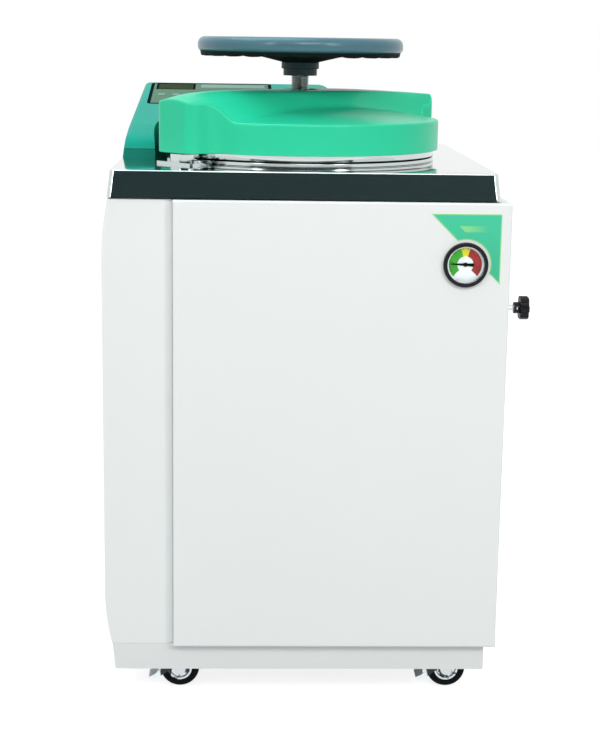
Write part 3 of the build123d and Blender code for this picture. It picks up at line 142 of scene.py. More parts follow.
class AutoclaveShapes(bpy.types.PropertyGroup):
    """Sizes of the pieces that the scene makes."""

    cover_radius: length("Cover radius", "Radius of the round skirt", 0.2215)
    cover_bottom: length("Cover bottom", "Foot of the skirt over the worktop", 0.0175)
    cover_dome: length("Dome", "Height of the domed roof at its middle", 0.0845)
    cover_edge: length("Dome edge", "Height of the domed roof at the skirt", 0.064)
    cover_wall: length("Wall", "Thickness of the moulding", 0.003)
    cover_round: length("Rim round", "Radius along the upper edge of the skirt", 0.004)
    arm_reach: length("Arm reach", "Reach of the hinge arm from the vessel's axis", 0.263)
    arm_half: length("Arm half-width", "Half the width of the hinge arm", 0.043)
    arm_corner: length("Arm corner", "Radius of the arm's corners in plan", 0.019)
    latch_reach: length("Latch reach", "Reach of the latch end from the axis", 0.236)
    latch_half: length("Latch half-width", "Half the width of the latch end", 0.076)
    latch_corner: length("Latch corner", "Radius of the latch end's corners", 0.007)
    screw_recess: length("Screw recess", "Radius of the hole round the screw", 0.028)
    thread_lead: length("Thread lead", "Rise of the clamping screw in one turn", 0.005)
    thread_starts: IntProperty(name="Thread starts", description="Threads side by side", default=2)
    thread_depth: length("Thread depth", "Depth of the thread", 0.0016)
    grip_lobes: IntProperty(name="Grip lobes", description="Lobes under the rim", default=24)
    grip_notch: length("Grip notch", "Rise of the notches between lobes", 0.0026)


class AutoclaveStage(bpy.types.PropertyGroup):
    """Camera and lamps."""

    camera_place: FloatVectorProperty(
        name="Camera",
        description="Camera's place",
        default=(-0.11386, -2.62379, 0.99943),
        subtype="XYZ",
    )
    camera_pitch: angle("Pitch", "Downward tilt of the camera", math.radians(11.698))
    camera_heading: angle("Heading", "Turn of the camera to the right", math.radians(1.928))
    camera_roll: angle("Roll", "Roll of the camera", math.radians(0.833))
    camera_lens: FloatProperty(
        name="Lens", description="Focal length in millimetres", default=78.54, min=1
    )
    side_power: watts("Left lamp", "Power of the left lamp", 16.5)
    right_share: FloatProperty(
        name="Right lamp", description="Right lamp's power over the left one's", default=1.45, min=0
    )
    front_power: watts("Front lamp", "Power of the front lamp", 39.0)
    top_power: watts("Top lamp", "Power of the lamp overhead", 42.0)
    sky: FloatProperty(name="Sky", description="Strength of the fill from all sides", default=0.55, min=0)


# ---------------------------------------------------------------- shader maths
class Value:
    """A number or colour that comes out of a node. Arithmetic on it adds Math nodes."""

    def __init__(self, owner, socket):
        self.owner = owner
        self.socket = socket

    def math(self, operation, *others):
        """Result of a Math node on this value and others."""
        inputs = dict(enumerate((self, *others)))
        return self.owner.node("ShaderNodeMath", {"operation": operation}, inputs)

    def __add__(self, other):
        return self.math("ADD", other)

    def __sub__(self, other):
        return self.math("SUBTRACT", other)

    def __mul__(self, other):
        return self.math("MULTIPLY", other)

    def __truediv__(self, other):
        return self.math("DIVIDE", other)

    def __rsub__(self, other):
        return (self * -1.0) + other

    def __lt__(self, other):
        return self.math("LESS_THAN", other)

    def __gt__(self, other):
        return self.math("GREATER_THAN", other)

    def __abs__(self):
        return self.math("ABSOLUTE")

    __radd__ = __add__
    __rmul__ = __mul__


class Nodes:
    """A node tree, with one way to add a node and one to feed a socket."""

    def __init__(self, tree):
        self.tree = tree

    def node(self, kind, settings=None, inputs=None, output=0):
        """Adds a node, with its settings and then its sockets, and returns one of its outputs."""
        added = self.tree.nodes.new(kind)
        for name, value in (settings or {}).items():
            setattr(added, name, value)
        for name, value in (inputs or {}).items():
            self.join(value, added.inputs[name])
        return Value(self, added.outputs[output])

    def rays(self, *kinds):
        """1 for any of some kinds of ray, otherwise 0."""
        seen = self.node("ShaderNodeLightPath", output=kinds[0])
        for kind in kinds[1:]:
            seen = seen.math("MAXIMUM", self.node("ShaderNodeLightPath", output=kind))
        return seen

    def join(self, value, socket):
        """Links a value to a socket, or sets a constant on it."""
        if isinstance(value, Value):
            self.tree.links.new(value.socket, socket)
        elif socket.type == "RGBA" and len(value) == 3:
            socket.default_value = (*value, 1)
        else:
            socket.default_value = value


class Finish(Nodes):
    """A procedural material with one Principled BSDF."""

    def __init__(self, name, **constants):
        self.material = bpy.data.materials.new(name)
        self.material.use_nodes = True
        super().__init__(self.material.node_tree)
        self.shader = self.tree.nodes["Principled BSDF"]
        for socket, value in constants.items():
            self.set(socket.replace("_", " ").title().replace("Ior", "IOR"), value)

    def set(self, socket, value):
        """Feeds a socket of the Principled BSDF."""
        self.join(value, self.shader.inputs[socket])

    def place(self):
        """Object coordinates."""
        return self.node("ShaderNodeTexCoord", output="Object")

    def axes(self):
        """X, Y and Z of the object coordinates."""
        place = self.place()
        return [self.node("ShaderNodeSeparateXYZ", None, {0: place}, output=i) for i in range(3)]

    def noise(self, scale, detail=2.0, stretch=(1, 1, 1)):
        """Noise from 0 to 1 over the object, stretched along its axes."""
        spread = self.node("ShaderNodeMapping", None, {"Vector": self.place(), "Scale": stretch})
        return self.node("ShaderNodeTexNoise", None, {"Vector": spread, "Scale": scale, "Detail": detail})

    def mix(self, mask, first, second):
        """Colour that goes from the first to the second with a mask."""
        return self.node(
            "ShaderNodeMix", {"data_type": "RGBA"}, {0: mask, 6: first, 7: second}, output=2
        )

    def bump(self, height, strength, distance):
        """Bump on the whole surface from a height of 0 to 1."""
        inputs = {"Height": height, "Strength": strength, "Distance": distance}
        self.set("Normal", self.node("ShaderNodeBump", None, inputs))

    def distance(self, centre):
        """Distance in the XZ plane from a centre, with its parts across and up."""
        x, _, z = self.axes()
        across = x - centre.x
        up = z - centre.z
        return (across * across + up * up).math("SQRT"), across, up

    def edge_distance(self, node):
        """Distance in plan from the nearest side of a CAD node's box, with X and Y."""
        x, y, _ = self.axes()
        bottom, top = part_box(node)
        nearest = (x - bottom.x).math("MINIMUM", top.x - x)
        return nearest.math("MINIMUM", (y - bottom.y).math("MINIMUM", top.y - y)), x, y

    def soft_step(self, value, start, end):
        """0 below start and 1 above end, with a smooth rise between."""
        return self.node(
            "ShaderNodeMapRange",
            {"interpolation_type": "SMOOTHSTEP"},
            {"Value": value, "From Min": start, "From Max": end},
        )


def shade(tint, factor):
    """Colour made lighter or darker by a factor."""
    return tuple(min(1.0, channel * factor) for channel in tint)


# ---------------------------------------------------------------- finishes
def powder_coat(name, tint):
    """Satin powder coat with a fine orange peel and faint unevenness."""
    finish = Finish(name, roughness=0.42, specular_ior_level=0.45)
    clouds = finish.noise(2.5, 3.0)
    finish.set("Base Color", finish.mix(clouds, shade(tint, 0.985), shade(tint, 1.02)))
    finish.set("Roughness", 0.38 + 0.10 * finish.noise(6.0, 2.0))
    finish.bump(finish.noise(900.0, 1.0), 0.12, 0.0002)
    return finish.material


def polished_steel(name, tint, roughness=0.10, painted_dark_bands=()):
    """Mirror-polished sheet with faint drawing lines along X, and bands of painted shade and dark reflection
    between heights.
    """
    finish = Finish(name, metallic=1.0)
    lines = finish.noise(60.0, 3.0, (0.4, 14.0, 14.0))
    bright = finish.mix(lines, shade(tint, 0.95), shade(tint, 1.03))
    # Painted shade and dark reflection: each band darkens the colour to 0.16 of the tint.
    for bottom, top in painted_dark_bands:
        up = finish.axes()[2]
        inside = (up > WORKTOP + bottom) * (up < WORKTOP + top)
        bright = finish.mix(inside, bright, shade(tint, 0.16))
    finish.set("Base Color", bright)
    finish.set("Roughness", roughness + 0.05 * lines)
    return finish.material


def turned_steel(name, tint, roughness=0.22):
    """Turned or plated steel with a fine grain all round."""
    finish = Finish(name, metallic=1.0)
    grain = finish.noise(450.0, 2.0, (1, 1, 6))
    finish.set("Base Color", finish.mix(grain, shade(tint, 0.86), shade(tint, 1.04)))
    finish.set("Roughness", roughness + 0.12 * finish.noise(90.0, 2.0))
    finish.bump(grain, 0.08, 0.0001)
    return finish.material


def moulding(name, tint, roughness=0.34, coat=0.10, gloss=0.22):
    """Moulded plastic with slight flow marks and a thin clear top coat."""
    finish = Finish(name, coat_roughness=0.12, specular_ior_level=gloss)
    flow = finish.noise(7.0, 2.0)
    finish.set("Base Color", finish.mix(flow, shade(tint, 0.93), shade(tint, 1.06)))
    finish.set("Roughness", roughness + 0.06 * finish.noise(40.0, 2.0))
    finish.set("Coat Weight", coat + 0.05 * flow)
    finish.bump(finish.noise(350.0, 1.0), 0.03, 0.0002)
    return finish.material


def rubber(name, tint):
    """Matte rubber with a fine grain and some dust."""
    finish = Finish(name, specular_ior_level=0.12)
    dust = finish.noise(60.0, 4.0)
    finish.set("Base Color", finish.mix(dust, tint, shade(tint, 2.2)))
    finish.set("Roughness", 0.60 + 0.20 * dust)
    finish.bump(finish.noise(1500.0, 1.0), 0.15, 0.0002)
    return finish.material


def enamel(name, tint, grip, boundary):
    """Satin enamel over a black grip below a height in the object's frame."""
    finish = Finish(name, specular_ior_level=0.15, coat_roughness=0.22)
    up = finish.axes()[2]
    above = finish.soft_step(up, boundary - 0.4 * MM, boundary + 0.4 * MM)
    speck = finish.noise(700.0, 2.0)
    paint = finish.mix(speck, shade(tint, 0.92), shade(tint, 1.06))
    finish.set("Base Color", finish.mix(above, grip, paint))
    finish.set("Roughness", 0.75 - 0.35 * above + 0.05 * speck)
    finish.set("Coat Weight", 0.55 * above)
    finish.bump(speck, 0.06, 0.0002)
    return finish.material


def wool(name, tint):
    """Fibrous mineral wool."""
    finish = Finish(name, roughness=0.95, specular_ior_level=0.1)
    fibre = finish.noise(180.0, 6.0)
    finish.set("Base Color", finish.mix(fibre, shade(tint, 0.7), shade(tint, 1.1)))
    finish.bump(fibre, 0.8, 0.002)
    return finish.material


def board(name):
    """Green circuit board with paler tracks."""
    finish = Finish(name, roughness=0.4)
    tracks = finish.node(
        "ShaderNodeTexBrick", None, {"Vector": finish.place(), "Scale": 220.0}, output="Fac"
    )
    finish.set("Base Color", finish.mix(tracks, (0.01, 0.12, 0.05), (0.03, 0.26, 0.11)))
    return finish.material


def clear_glass(name):
    """Thin clear glass that dims what is behind it a little."""
    finish = Finish(name, transmission_weight=1.0, ior=1.06, roughness=0.02)
    finish.set("Base Color", finish.mix(finish.noise(30.0), (0.97, 0.99, 0.99), (1.0, 1.0, 1.0)))
    return finish.material


def dial_print(name, colours):
    """White dial with a green, a yellow and a red sector outside a white middle."""
    finish = Finish(name, roughness=0.45)
    radius, across, up = finish.distance(GAUGE)
    # Turn from the lower middle, clockwise as seen from the front, in degrees.
    turn = (across * -1.0).math("ARCTAN2", up * -1.0) * math.degrees(1.0)
    turn = turn + 360.0 * (turn < 0.0)
    ring_inner = 11.8 * MM
    ring_outer = 24.2 * MM
    mark_inner = 21.4 * MM
    mark_step = 17.8
    first_mark = 46.0
    last_mark = 313.0
    outer = (radius > ring_inner) * (radius < ring_outer)
    white = finish.mix(finish.noise(400.0), (0.80, 0.86, 0.88), (0.88, 0.93, 0.94))
    face = white
    for start, end, tint in (
        (first_mark, 164.0, colours.dial_green),
        (164.0, 196.0, colours.dial_yellow),
        (196.0, last_mark, colours.dial_red),
    ):
        sector = (turn > start) * (turn < end) * outer
        face = finish.mix(sector, face, tuple(tint))
    # Fine marks at even steps along the rim of the sectors.
    step = (turn - first_mark) / mark_step
    near_mark = abs(step - step.math("ROUND")) * radius < 1.1 * MM
    marks = near_mark * (turn > first_mark - 2.0) * (turn < last_mark + 2.0)
    marks = marks * (radius > mark_inner) * (radius < ring_outer)
    finish.set("Base Color", finish.mix(marks, face, (0.012, 0.014, 0.014)))
    return finish.material


def badge_print(name, colours):
    """Green badge with a paler border along its three edges and round the gauge."""
    finish = Finish(name, roughness=0.35, coat_weight=0.3)
    x, _, z = finish.axes()
    bottom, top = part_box("front_badge")
    across = x - GAUGE.x
    up = z - GAUGE.z
    from_gauge = (across * across + up * up).math("SQRT") - 36.6 * MM
    from_side = top.x - x
    from_top = top.z - z
    from_slant = ((x - bottom.x) + (z - top.z)) * math.sqrt(0.5)
    nearest = from_gauge.math("MINIMUM", from_side)
    nearest = nearest.math("MINIMUM", from_top).math("MINIMUM", from_slant)
    border = 1.0 - finish.soft_step(nearest, 0.9 * MM, 1.7 * MM)
    fade = finish.soft_step(z, bottom.z, top.z)
    field = finish.mix(fade, shade(colours.badge, 0.90), shade(colours.badge, 1.06))
    # A pale wedge under the top edge, its left end slanted like the badge, fades to the right.
    wedge = (up < 56.2 * MM) * (up > 47.4 * MM) * ((across + up) > 45.5 * MM)
    pale = wedge * (1.0 - finish.soft_step(across, -4.0 * MM, 36.0 * MM)) * 0.75
    field = finish.mix(pale, field, tuple(colours.badge_edge))
    finish.set("Base Color", finish.mix(border, field, tuple(colours.badge_edge)))
    return finish.material


# ---------------------------------------------------------------- surfaces
def grid_faces(rows, columns, wrap_rows=False, wrap_columns=False):
    """Four-sided faces between neighbouring rows and columns of a grid of points."""
    row = np.arange(rows if wrap_rows else rows - 1)[:, None]
    column = np.arange(columns if wrap_columns else columns - 1)[None, :]
    next_row = (row + 1) % rows * columns
    next_column = (column + 1) % columns
    row = row * columns
    corners = (row + column, row + next_column, next_row + next_column, next_row + column)
    return np.stack(np.broadcast_arrays(*corners), -1).reshape(-1, 4)


def rounded(corners, closed=False, steps=6):
    """Path through corners (a, b, radius), each turned by a circular arc of its radius."""
    points = np.array(corners, float)
    path = []
    for i, (a, b, radius) in enumerate(points):
        here = np.array((a, b))
        if radius == 0 or (not closed and i in (0, len(points) - 1)):
            path.append(here[None])
            continue
        into = points[i - 1, :2] - here
        away = points[(i + 1) % len(points), :2] - here
        into /= np.linalg.norm(into)
        away /= np.linalg.norm(away)
        half = math.acos(float(np.clip(into @ away, -1, 1))) / 2
        centre = here + (into + away) / np.linalg.norm(into + away) * radius / math.sin(half)
        spoke = here + into * radius / math.tan(half) - centre
        last = here + away * radius / math.tan(half) - centre
        sweep = math.atan2(spoke[0] * last[1] - spoke[1] * last[0], spoke @ last)
        turn = np.linspace(0, sweep, steps + 1)[:, None]
        side = np.array((-spoke[1], spoke[0]))
        path.append(centre + spoke * np.cos(turn) + side * np.sin(turn))
    return np.concatenate(path)


def turned(profile, steps, centre, axis="Z", ripple=None):
    """Grid of a profile of (radius, height) turned round an axis through a centre.

    The ripple, if any, is an array of radius and height changes for each row and step.
    """
    turn = np.linspace(0, 2 * math.pi, steps, endpoint=False)[None, :]
    radius = profile[:, 0][:, None] + np.zeros_like(turn)
    height = profile[:, 1][:, None] + np.zeros_like(turn)
    if ripple is not None:
        radius = radius + ripple[0]
        height = height + ripple[1]
    across = radius * np.cos(turn)
    around = radius * np.sin(turn)
    order = {"Z": (across, around, height), "Y": (across, height, around), "X": (height, across, around)}
    return np.stack(order[axis], -1) + np.array(centre)


def tie(piece, body, finish, replaces=()):
    """Gives a piece its finish and its body, and hides the CAD nodes that it stands for."""
    piece.data.materials.clear()
    piece.data.materials.append(finish)
    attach(piece, body)
    if replaces:
        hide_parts(*replaces)
    return piece


def add_mesh(name, points, faces, crease=35.0):
    """Object from points and faces, with doubles merged, faces outwards and smooth shading."""
    mesh = bpy.data.meshes.new(name)
    mesh.from_pydata(points.reshape(-1, 3).tolist(), [], faces.tolist())
    work = bmesh.new()
    work.from_mesh(mesh)
    bmesh.ops.remove_doubles(work, verts=work.verts, dist=1e-7)
    bmesh.ops.recalc_face_normals(work, faces=work.faces)
    work.to_mesh(mesh)
    work.free()
    mesh.shade_smooth()
    mesh.set_sharp_from_angle(angle=math.radians(crease))
    piece = bpy.data.objects.new(name, mesh)
    bpy.context.scene.collection.objects.link(piece)
    return piece


def add_turned(name, profile, steps, centre, axis="Z", closed=False, ripple=None, crease=35.0):
    """Turned object. A closed profile makes a ring; an open one starts and ends on the axis."""
    grid = turned(profile, steps, centre, axis, ripple)
    faces = grid_faces(grid.shape[0], steps, wrap_rows=closed, wrap_columns=True)
    return add_mesh(name, grid, faces, crease)


def smooth_copy(node, crease=30.0):
    """Copy of a CAD node with its loose triangles joined, so that round faces shade smoothly."""
    source = frame["nodes"][node].data
    points = np.empty(len(source.vertices) * 3)
    source.vertices.foreach_get("co", points)
    corners = np.empty(len(source.loops), np.int32)
    source.loops.foreach_get("vertex_index", corners)
    return add_mesh(f"{node}_shell", points.reshape(-1, 3), corners.reshape(-1, 3), crease)


def finish_nodes(nodes, finish):
    """Gives CAD nodes their finish."""
    for node in nodes:
        mesh = frame["nodes"][node].data
        mesh.materials.clear()
        mesh.materials.append(finish)


def smooth_nodes(nodes, body, finish, crease=30.0):
    """Shows CAD nodes as smooth copies with a finish."""
    for node in nodes:
        tie(smooth_copy(node, crease), body, finish, [node])


# ---------------------------------------------------------------- lid cover
def soft_min(first, second, reach):
    """Smaller of two arrays, with a round transition over a reach."""
    blend = np.clip(0.5 + 0.5 * (second - first) / reach, 0, 1)
    return second + (first - second) * blend - reach * blend * (1 - blend)


def soft_max(first, second, reach):
    """Larger of two arrays, with a round transition over a reach."""
    return -soft_min(-first, -second, reach)


def slab_distance(u, v, start, end, half, corner):
    """Signed distance in plan from a rectangle with round corners."""
    over_u = np.abs(u - (start + end) / 2) - (end - start) / 2 + corner
    over_v = np.abs(v) - half + corner
    outside = np.hypot(np.maximum(over_u, 0), np.maximum(over_v, 0))
    return outside + np.minimum(np.maximum(over_u, over_v), 0) - corner


def cover_distance(u, v, shapes):
    """Signed distance in plan from the cover: a disc joined softly to the arm and the latch end."""
    disc = np.hypot(u, v) - shapes.cover_radius
    arm = slab_distance(u, v, -shapes.arm_reach, 0, shapes.arm_half, shapes.arm_corner)
    latch = slab_distance(u, v, 0, shapes.latch_reach, shapes.latch_half, shapes.latch_corner)
    return soft_min(soft_min(disc, arm, 22 * MM), latch, 5 * MM)


# Along the crown: place, half-width of its top, height of the top's edges and of its middle, in mm.
CROWN = np.array(
    [
        (-272, 38, 91.5, 94.0),
        (-238, 38, 93.5, 103.5),
        (-200, 38, 96.8, 107.0),
        (-120, 40, 101.6, 109.0),
        (0, 50, 106.8, 109.0),
        (110, 64, 105.8, 107.6),
        (244, 70, 99.5, 101.0),
    ]
) * MM
CROWN_FOOT = 76 * MM


def through(places, values, wanted):
    """Smooth curve through values at places: a cubic in each gap, with the slopes of its neighbours."""
    slopes = np.gradient(values, places)
    gap = np.clip(np.searchsorted(places, wanted) - 1, 0, len(places) - 2)
    run = places[gap + 1] - places[gap]
    t = np.clip((wanted - places[gap]) / run, 0, 1)
    ends = values[gap] * (1 + 2 * t) * (1 - t) ** 2 + values[gap + 1] * t * t * (3 - 2 * t)
    return ends + run * t * (1 - t) * (slopes[gap] * (1 - t) - slopes[gap + 1] * t)


def cover_height(u, v, shapes):
    """Roof over the worktop: a shallow dome, and the cambered crown that rises from it."""
    fall = (shapes.cover_dome - shapes.cover_edge) / shapes.cover_radius**2
    dome = shapes.cover_dome - fall * (u * u + v * v)
    foot = shapes.cover_dome - fall * (u * u + CROWN_FOOT**2) - 1 * MM
    half, edge, ridge = (through(CROWN[:, 0], CROWN[:, i], u) for i in (1, 2, 3))
    top = ridge - (ridge - edge) * (v / half) ** 2
    flank = edge - (np.abs(v) - half) / (CROWN_FOOT - half) * (edge - foot)
    return soft_max(dome, soft_min(top, flank, 4 * MM), 6 * MM)


def cover_grid(shapes, around=600):
    """Closed grid of the cover: round the outline, and across it from the screw hole outwards.

    The outline is where the plan distance is zero on rays from the screw, found by halving.  Rows
    run up the hole's wall, over the roof, round the rim, down the skirt and back up inside.
    """
    turn = np.linspace(0, 2 * math.pi, around, endpoint=False)
    ray = np.stack((np.cos(turn), np.sin(turn)))
    near = np.full(around, 0.5 * shapes.cover_radius)
    far = np.full(around, 1.5 * shapes.cover_radius)
    for _ in range(40):
        half_way = (near + far) / 2
        inside = cover_distance(*(ray * half_way), shapes) < 0
        near = np.where(inside, half_way, near)
        far = np.where(inside, far, half_way)
    edge = ray * near
    small = 0.01 * MM
    u, v = edge
    slope_u = cover_distance(u + small, v, shapes) - cover_distance(u - small, v, shapes)
    slope_v = cover_distance(u, v + small, shapes) - cover_distance(u, v - small, shapes)
    outward = np.stack((slope_u, slope_v)) / np.hypot(slope_u, slope_v)

    def row(plan, height):
        return np.stack((plan[0], plan[1], height + 0 * plan[0]), -1)

    rim = shapes.cover_round
    wall = shapes.cover_wall
    hole = ray * shapes.screw_recess
    hole_low = high("lid_beam").z - WORKTOP + 1 * MM
    inset = edge - outward * rim
    start = ray * (shapes.screw_recess + 1.5 * MM)
    roof = cover_height(*inset, shapes) - rim
    rows = [row(hole, hole_low), row(hole, cover_height(*hole, shapes) - 1.5 * MM)]
    for share in np.linspace(0, 1, 66):
        plan = start + (inset - start) * share
        rows.append(row(plan, cover_height(*plan, shapes)))
    for bend in np.linspace(0, math.pi / 2, 8)[1:]:
        plan = inset + outward * rim * math.sin(bend)
        rows.append(row(plan, roof + rim * math.cos(bend)))
    for share in (0.3, 0.6, 0.9, 0.985):
        rows.append(row(edge, roof + (shapes.cover_bottom - roof) * share))
    inner = edge - outward * wall
    rows.append(row((edge + inner) / 2, shapes.cover_bottom))
    rows.append(row(inner, shapes.cover_bottom + 1 * MM))
    rows.append(row(inner, roof))
    under = edge - outward * (rim + 0.5 * wall)
    last = ray * (shapes.screw_recess + wall)
    for share in np.linspace(0, 1, 30):
        plan = under + (last - under) * share
        rows.append(row(plan, cover_height(*plan, shapes) - wall))
    rows.append(row(last, hole_low))
    return np.array(rows)


def over_vessel(grid, heading):
    """Turns a grid by the arm's heading and stands it on the worktop over the vessel."""
    spin = np.array(Matrix.Rotation(heading, 3, "Z"))
    return grid @ spin.T + np.array(VESSEL)


# ---------------------------------------------------------------- operators
class Step:
    """What the operators share."""

    bl_options = {"REGISTER", "UNDO"}

    def settings(self, context):
        """Colours and sizes of the scene."""
        return context.scene.autoclave_colours, context.scene.autoclave_shapes


class AUTOCLAVE_OT_cabinet(Step, bpy.types.Operator):
    """Paint the cabinet, its column, its plinth and its back"""

    bl_idname = "autoclave.cabinet"
    bl_label = "Cabinet"

    def execute(self, context):
        colours, _ = self.settings(context)
        paint = powder_coat("cabinet_paint", colours.cabinet)
        finish_nodes(["front_panel", "right_side_panel", "rear_panel"], paint)
        # The plinth's tint, 0.93 of the cabinet's, is painted shade from the front panel's overhang.
        finish_nodes(["base_tray"], powder_coat("plinth_painted_shade", shade(colours.cabinet, 0.93)))
        smooth_nodes(["left_column_cover"], "cabinet", paint)
        dark = powder_coat("frame_paint", (0.10, 0.11, 0.12))
        finish_nodes(["chassis_frame"], dark)
        return {"FINISHED"}


class AUTOCLAVE_OT_vessel(Step, bpy.types.Operator):
    """Polish the worktop, the vessel, the lid disc and the hinge"""

    bl_idname = "autoclave.vessel"
    bl_label = "Worktop and vessel"

    def execute(self, context):
        colours, _ = self.settings(context)
        mirror = polished_steel("worktop_steel", colours.steel, 0.06)
        smooth_nodes(["top_plate"], "cabinet", mirror, 25.0)
        # Heights over the worktop of the bands of painted shade and dark reflection on the vessel and lid
        # steel.
        painted_dark_bands = [(0.3 * MM, 1.6 * MM), (8.2 * MM, 9.4 * MM)]
        inside = polished_steel("vessel_steel", colours.steel, 0.12, painted_dark_bands)
        smooth_nodes(["vessel", "heater_guard"], "cabinet", inside)
        lid_steel = polished_steel("lid_steel", colours.steel, 0.05, painted_dark_bands)
        smooth_nodes(["lid_disc"], "lid", lid_steel)
        turned_parts = turned_steel("screw_steel", colours.zinc)
        smooth_nodes(["thrust_housing", "guide_rods"], "lid", turned_parts)
        smooth_nodes(["hinge_block", "latch_keeper"], "cabinet", mirror)
        smooth_nodes(["hinge_pin", "plate_bolts"], "cabinet", turned_parts)
        seal = rubber("gasket_silicone", colours.rubber)
        smooth_nodes(["lid_gasket"], "cabinet", seal)
        hot = turned_steel("heater_sheath", (0.42, 0.36, 0.30), 0.35)
        smooth_nodes(["immersion_heater"], "cabinet", hot)
        fleece = wool("insulation_wool", (0.62, 0.58, 0.42))
        smooth_nodes(["vessel_insulation"], "cabinet", fleece)
        return {"FINISHED"}


class AUTOCLAVE_OT_lid_cover(Step, bpy.types.Operator):
    """Mould the domed lid cover with its raised crown over the swinging arm"""

    bl_idname = "autoclave.lid_cover"
    bl_label = "Lid cover"

    def execute(self, context):
        colours, shapes = self.settings(context)
        pivot = next(joint for joint in frame["joints"] if joint["name"] == "lid_swing")["pos_m"]
        heading = math.atan2(VESSEL.y - pivot[1], VESSEL.x - pivot[0])
        grid = over_vessel(cover_grid(shapes), heading)
        faces = grid_faces(grid.shape[0], grid.shape[1], wrap_rows=True, wrap_columns=True)
        cover = add_mesh("lid_cover_moulding", grid, faces, 50.0)
        green = moulding("cover_green", colours.cover)
        tie(cover, "lid_arm", green, ["lid_cover"])
        # The beam's dark tint also paints the shade inside the recess round the screw.
        arm_steel_and_recess_shade = turned_steel("arm_steel_and_recess_shade", (0.10, 0.11, 0.11), 0.4)
        smooth_nodes(["lid_beam"], "lid_arm", arm_steel_and_recess_shade)
        bronze = turned_steel("bush_bronze", (0.30, 0.20, 0.09), 0.35)
        smooth_nodes(["hinge_bush", "screw_nut"], "lid_arm", bronze)
        return {"FINISHED"}


class AUTOCLAVE_OT_handwheel(Step, bpy.types.Operator):
    """Turn the handwheel, its hub and the threaded clamping screw"""

    bl_idname = "autoclave.handwheel"
    bl_label = "Handwheel and screw"

    def rim_profile(self):
        """Closed section of the wheel: web on the hub, round rim, and the finger grip below it."""
        top = high("handwheel").z
        bottom = low("handwheel").z
        reach = (high("handwheel").x - low("handwheel").x) / 2
        hub = (high("handwheel_hub").x - low("handwheel_hub").x) / 2
        hub_top = high("handwheel_hub").z
        rim_low = top - RIM_DEPTH
        grip_low = rim_low - 7.5 * MM
        return rounded(
            [
                (10.0 * MM, bottom, 0),
                (hub, bottom, 1.0 * MM),
                (hub + 34.0 * MM, hub_top + 8.0 * MM, 60.0 * MM),
                (reach - RIM_WIDTH, rim_low - 1.0 * MM, 4.0 * MM),
                (reach - 22.5 * MM, grip_low, 3.5 * MM),
                (reach - 5.2 * MM, grip_low, 3.0 * MM),
                (reach - 3.6 * MM, rim_low + 0.2 * MM, 0.8 * MM),
                (reach, rim_low + 0.6 * MM, 6.5 * MM),
                (reach, top, 11.1 * MM),
                (reach - RIM_WIDTH, top, 11.1 * MM),
                (reach - RIM_WIDTH, rim_low + 9.0 * MM, 5.0 * MM),
                (hub + 14.0 * MM, hub_top + 6.5 * MM, 20.0 * MM),
                (hub, hub_top + 18.0 * MM, 3.0 * MM),
                (10.0 * MM, hub_top + 18.0 * MM, 0),
            ],
            closed=True,
        )

    def execute(self, context):
        colours, shapes = self.settings(context)
        profile = self.rim_profile()
        steps = shapes.grip_lobes * 16
        turn = np.linspace(0, 2 * math.pi, steps, endpoint=False)[None, :]
        rim_low = high("handwheel").z - RIM_DEPTH
        reach = (high("handwheel").x - low("handwheel").x) / 2
        in_grip = (profile[:, 0] > reach - RIM_WIDTH) & (profile[:, 1] < rim_low - 1.2 * MM)
        notch = 1 - np.abs(np.cos(shapes.grip_lobes / 2 * turn))
        lift = in_grip[:, None] * notch * shapes.grip_notch
        centre = (VESSEL.x, VESSEL.y, 0)
        wheel = add_turned(
            "handwheel_rim", profile, steps, centre, closed=True, ripple=(0 * lift, lift), crease=40.0
        )
        paint = enamel("wheel_enamel", colours.wheel, tuple(colours.grip), rim_low)
        tie(wheel, "wheel_and_screw", paint, ["handwheel"])
        hub_paint = moulding("hub_enamel", shade(colours.wheel, 0.30), 0.45, 0.05, 0.3)
        smooth_nodes(["handwheel_hub"], "wheel_and_screw", hub_paint)
        bright = turned_steel("wheel_nut_steel", colours.zinc)
        smooth_nodes(["wheel_nut"], "wheel_and_screw", bright)
        self.make_screw(colours, shapes)
        return {"FINISHED"}

    def make_screw(self, colours, shapes):
        """Screw: a cylinder whose radius follows a rounded triangle wave along the helix."""
        bottom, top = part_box("clamp_screw")
        radius = (top.x - bottom.x) / 2
        stud = 10.0 * MM
        shoulder_low = high("thrust_housing").z + 0.3 * MM
        shoulder_high = low("handwheel_hub").z
        rows = 420
        steps = 64
        height = np.linspace(shoulder_low, shoulder_high, rows)
        turn = np.linspace(0, 2 * math.pi, steps, endpoint=False)[None, :]
        pitch = shapes.thread_lead / shapes.thread_starts
        phase = height[:, None] / pitch - turn / (2 * math.pi) * shapes.thread_starts
        wave = np.abs(2 * (phase - np.floor(phase)) - 1)
        cut = -shapes.thread_depth * np.clip(1.4 * wave - 0.2, 0, 1)
        cut[:3] -= 1.0 * MM
        cut[-3:] -= 0.3 * MM
        ends_low = [(0, bottom.z), (stud, bottom.z), (stud, shoulder_low)]
        ends_high = [(stud, shoulder_high), (stud, top.z), (0, top.z)]
        profile = np.array(
            ends_low + [(radius, place) for place in height] + ends_high
        )
        ripple = np.zeros((len(profile), steps))
        ripple[3:-3] = cut
        centre = (VESSEL.x, VESSEL.y, 0)
        screw = add_turned("clamp_screw_thread", profile, steps, centre, ripple=(ripple, 0 * ripple))
        bright = turned_steel("screw_bright", (0.44, 0.47, 0.46), 0.12)
        tie(screw, "wheel_and_screw", bright, ["clamp_screw"])


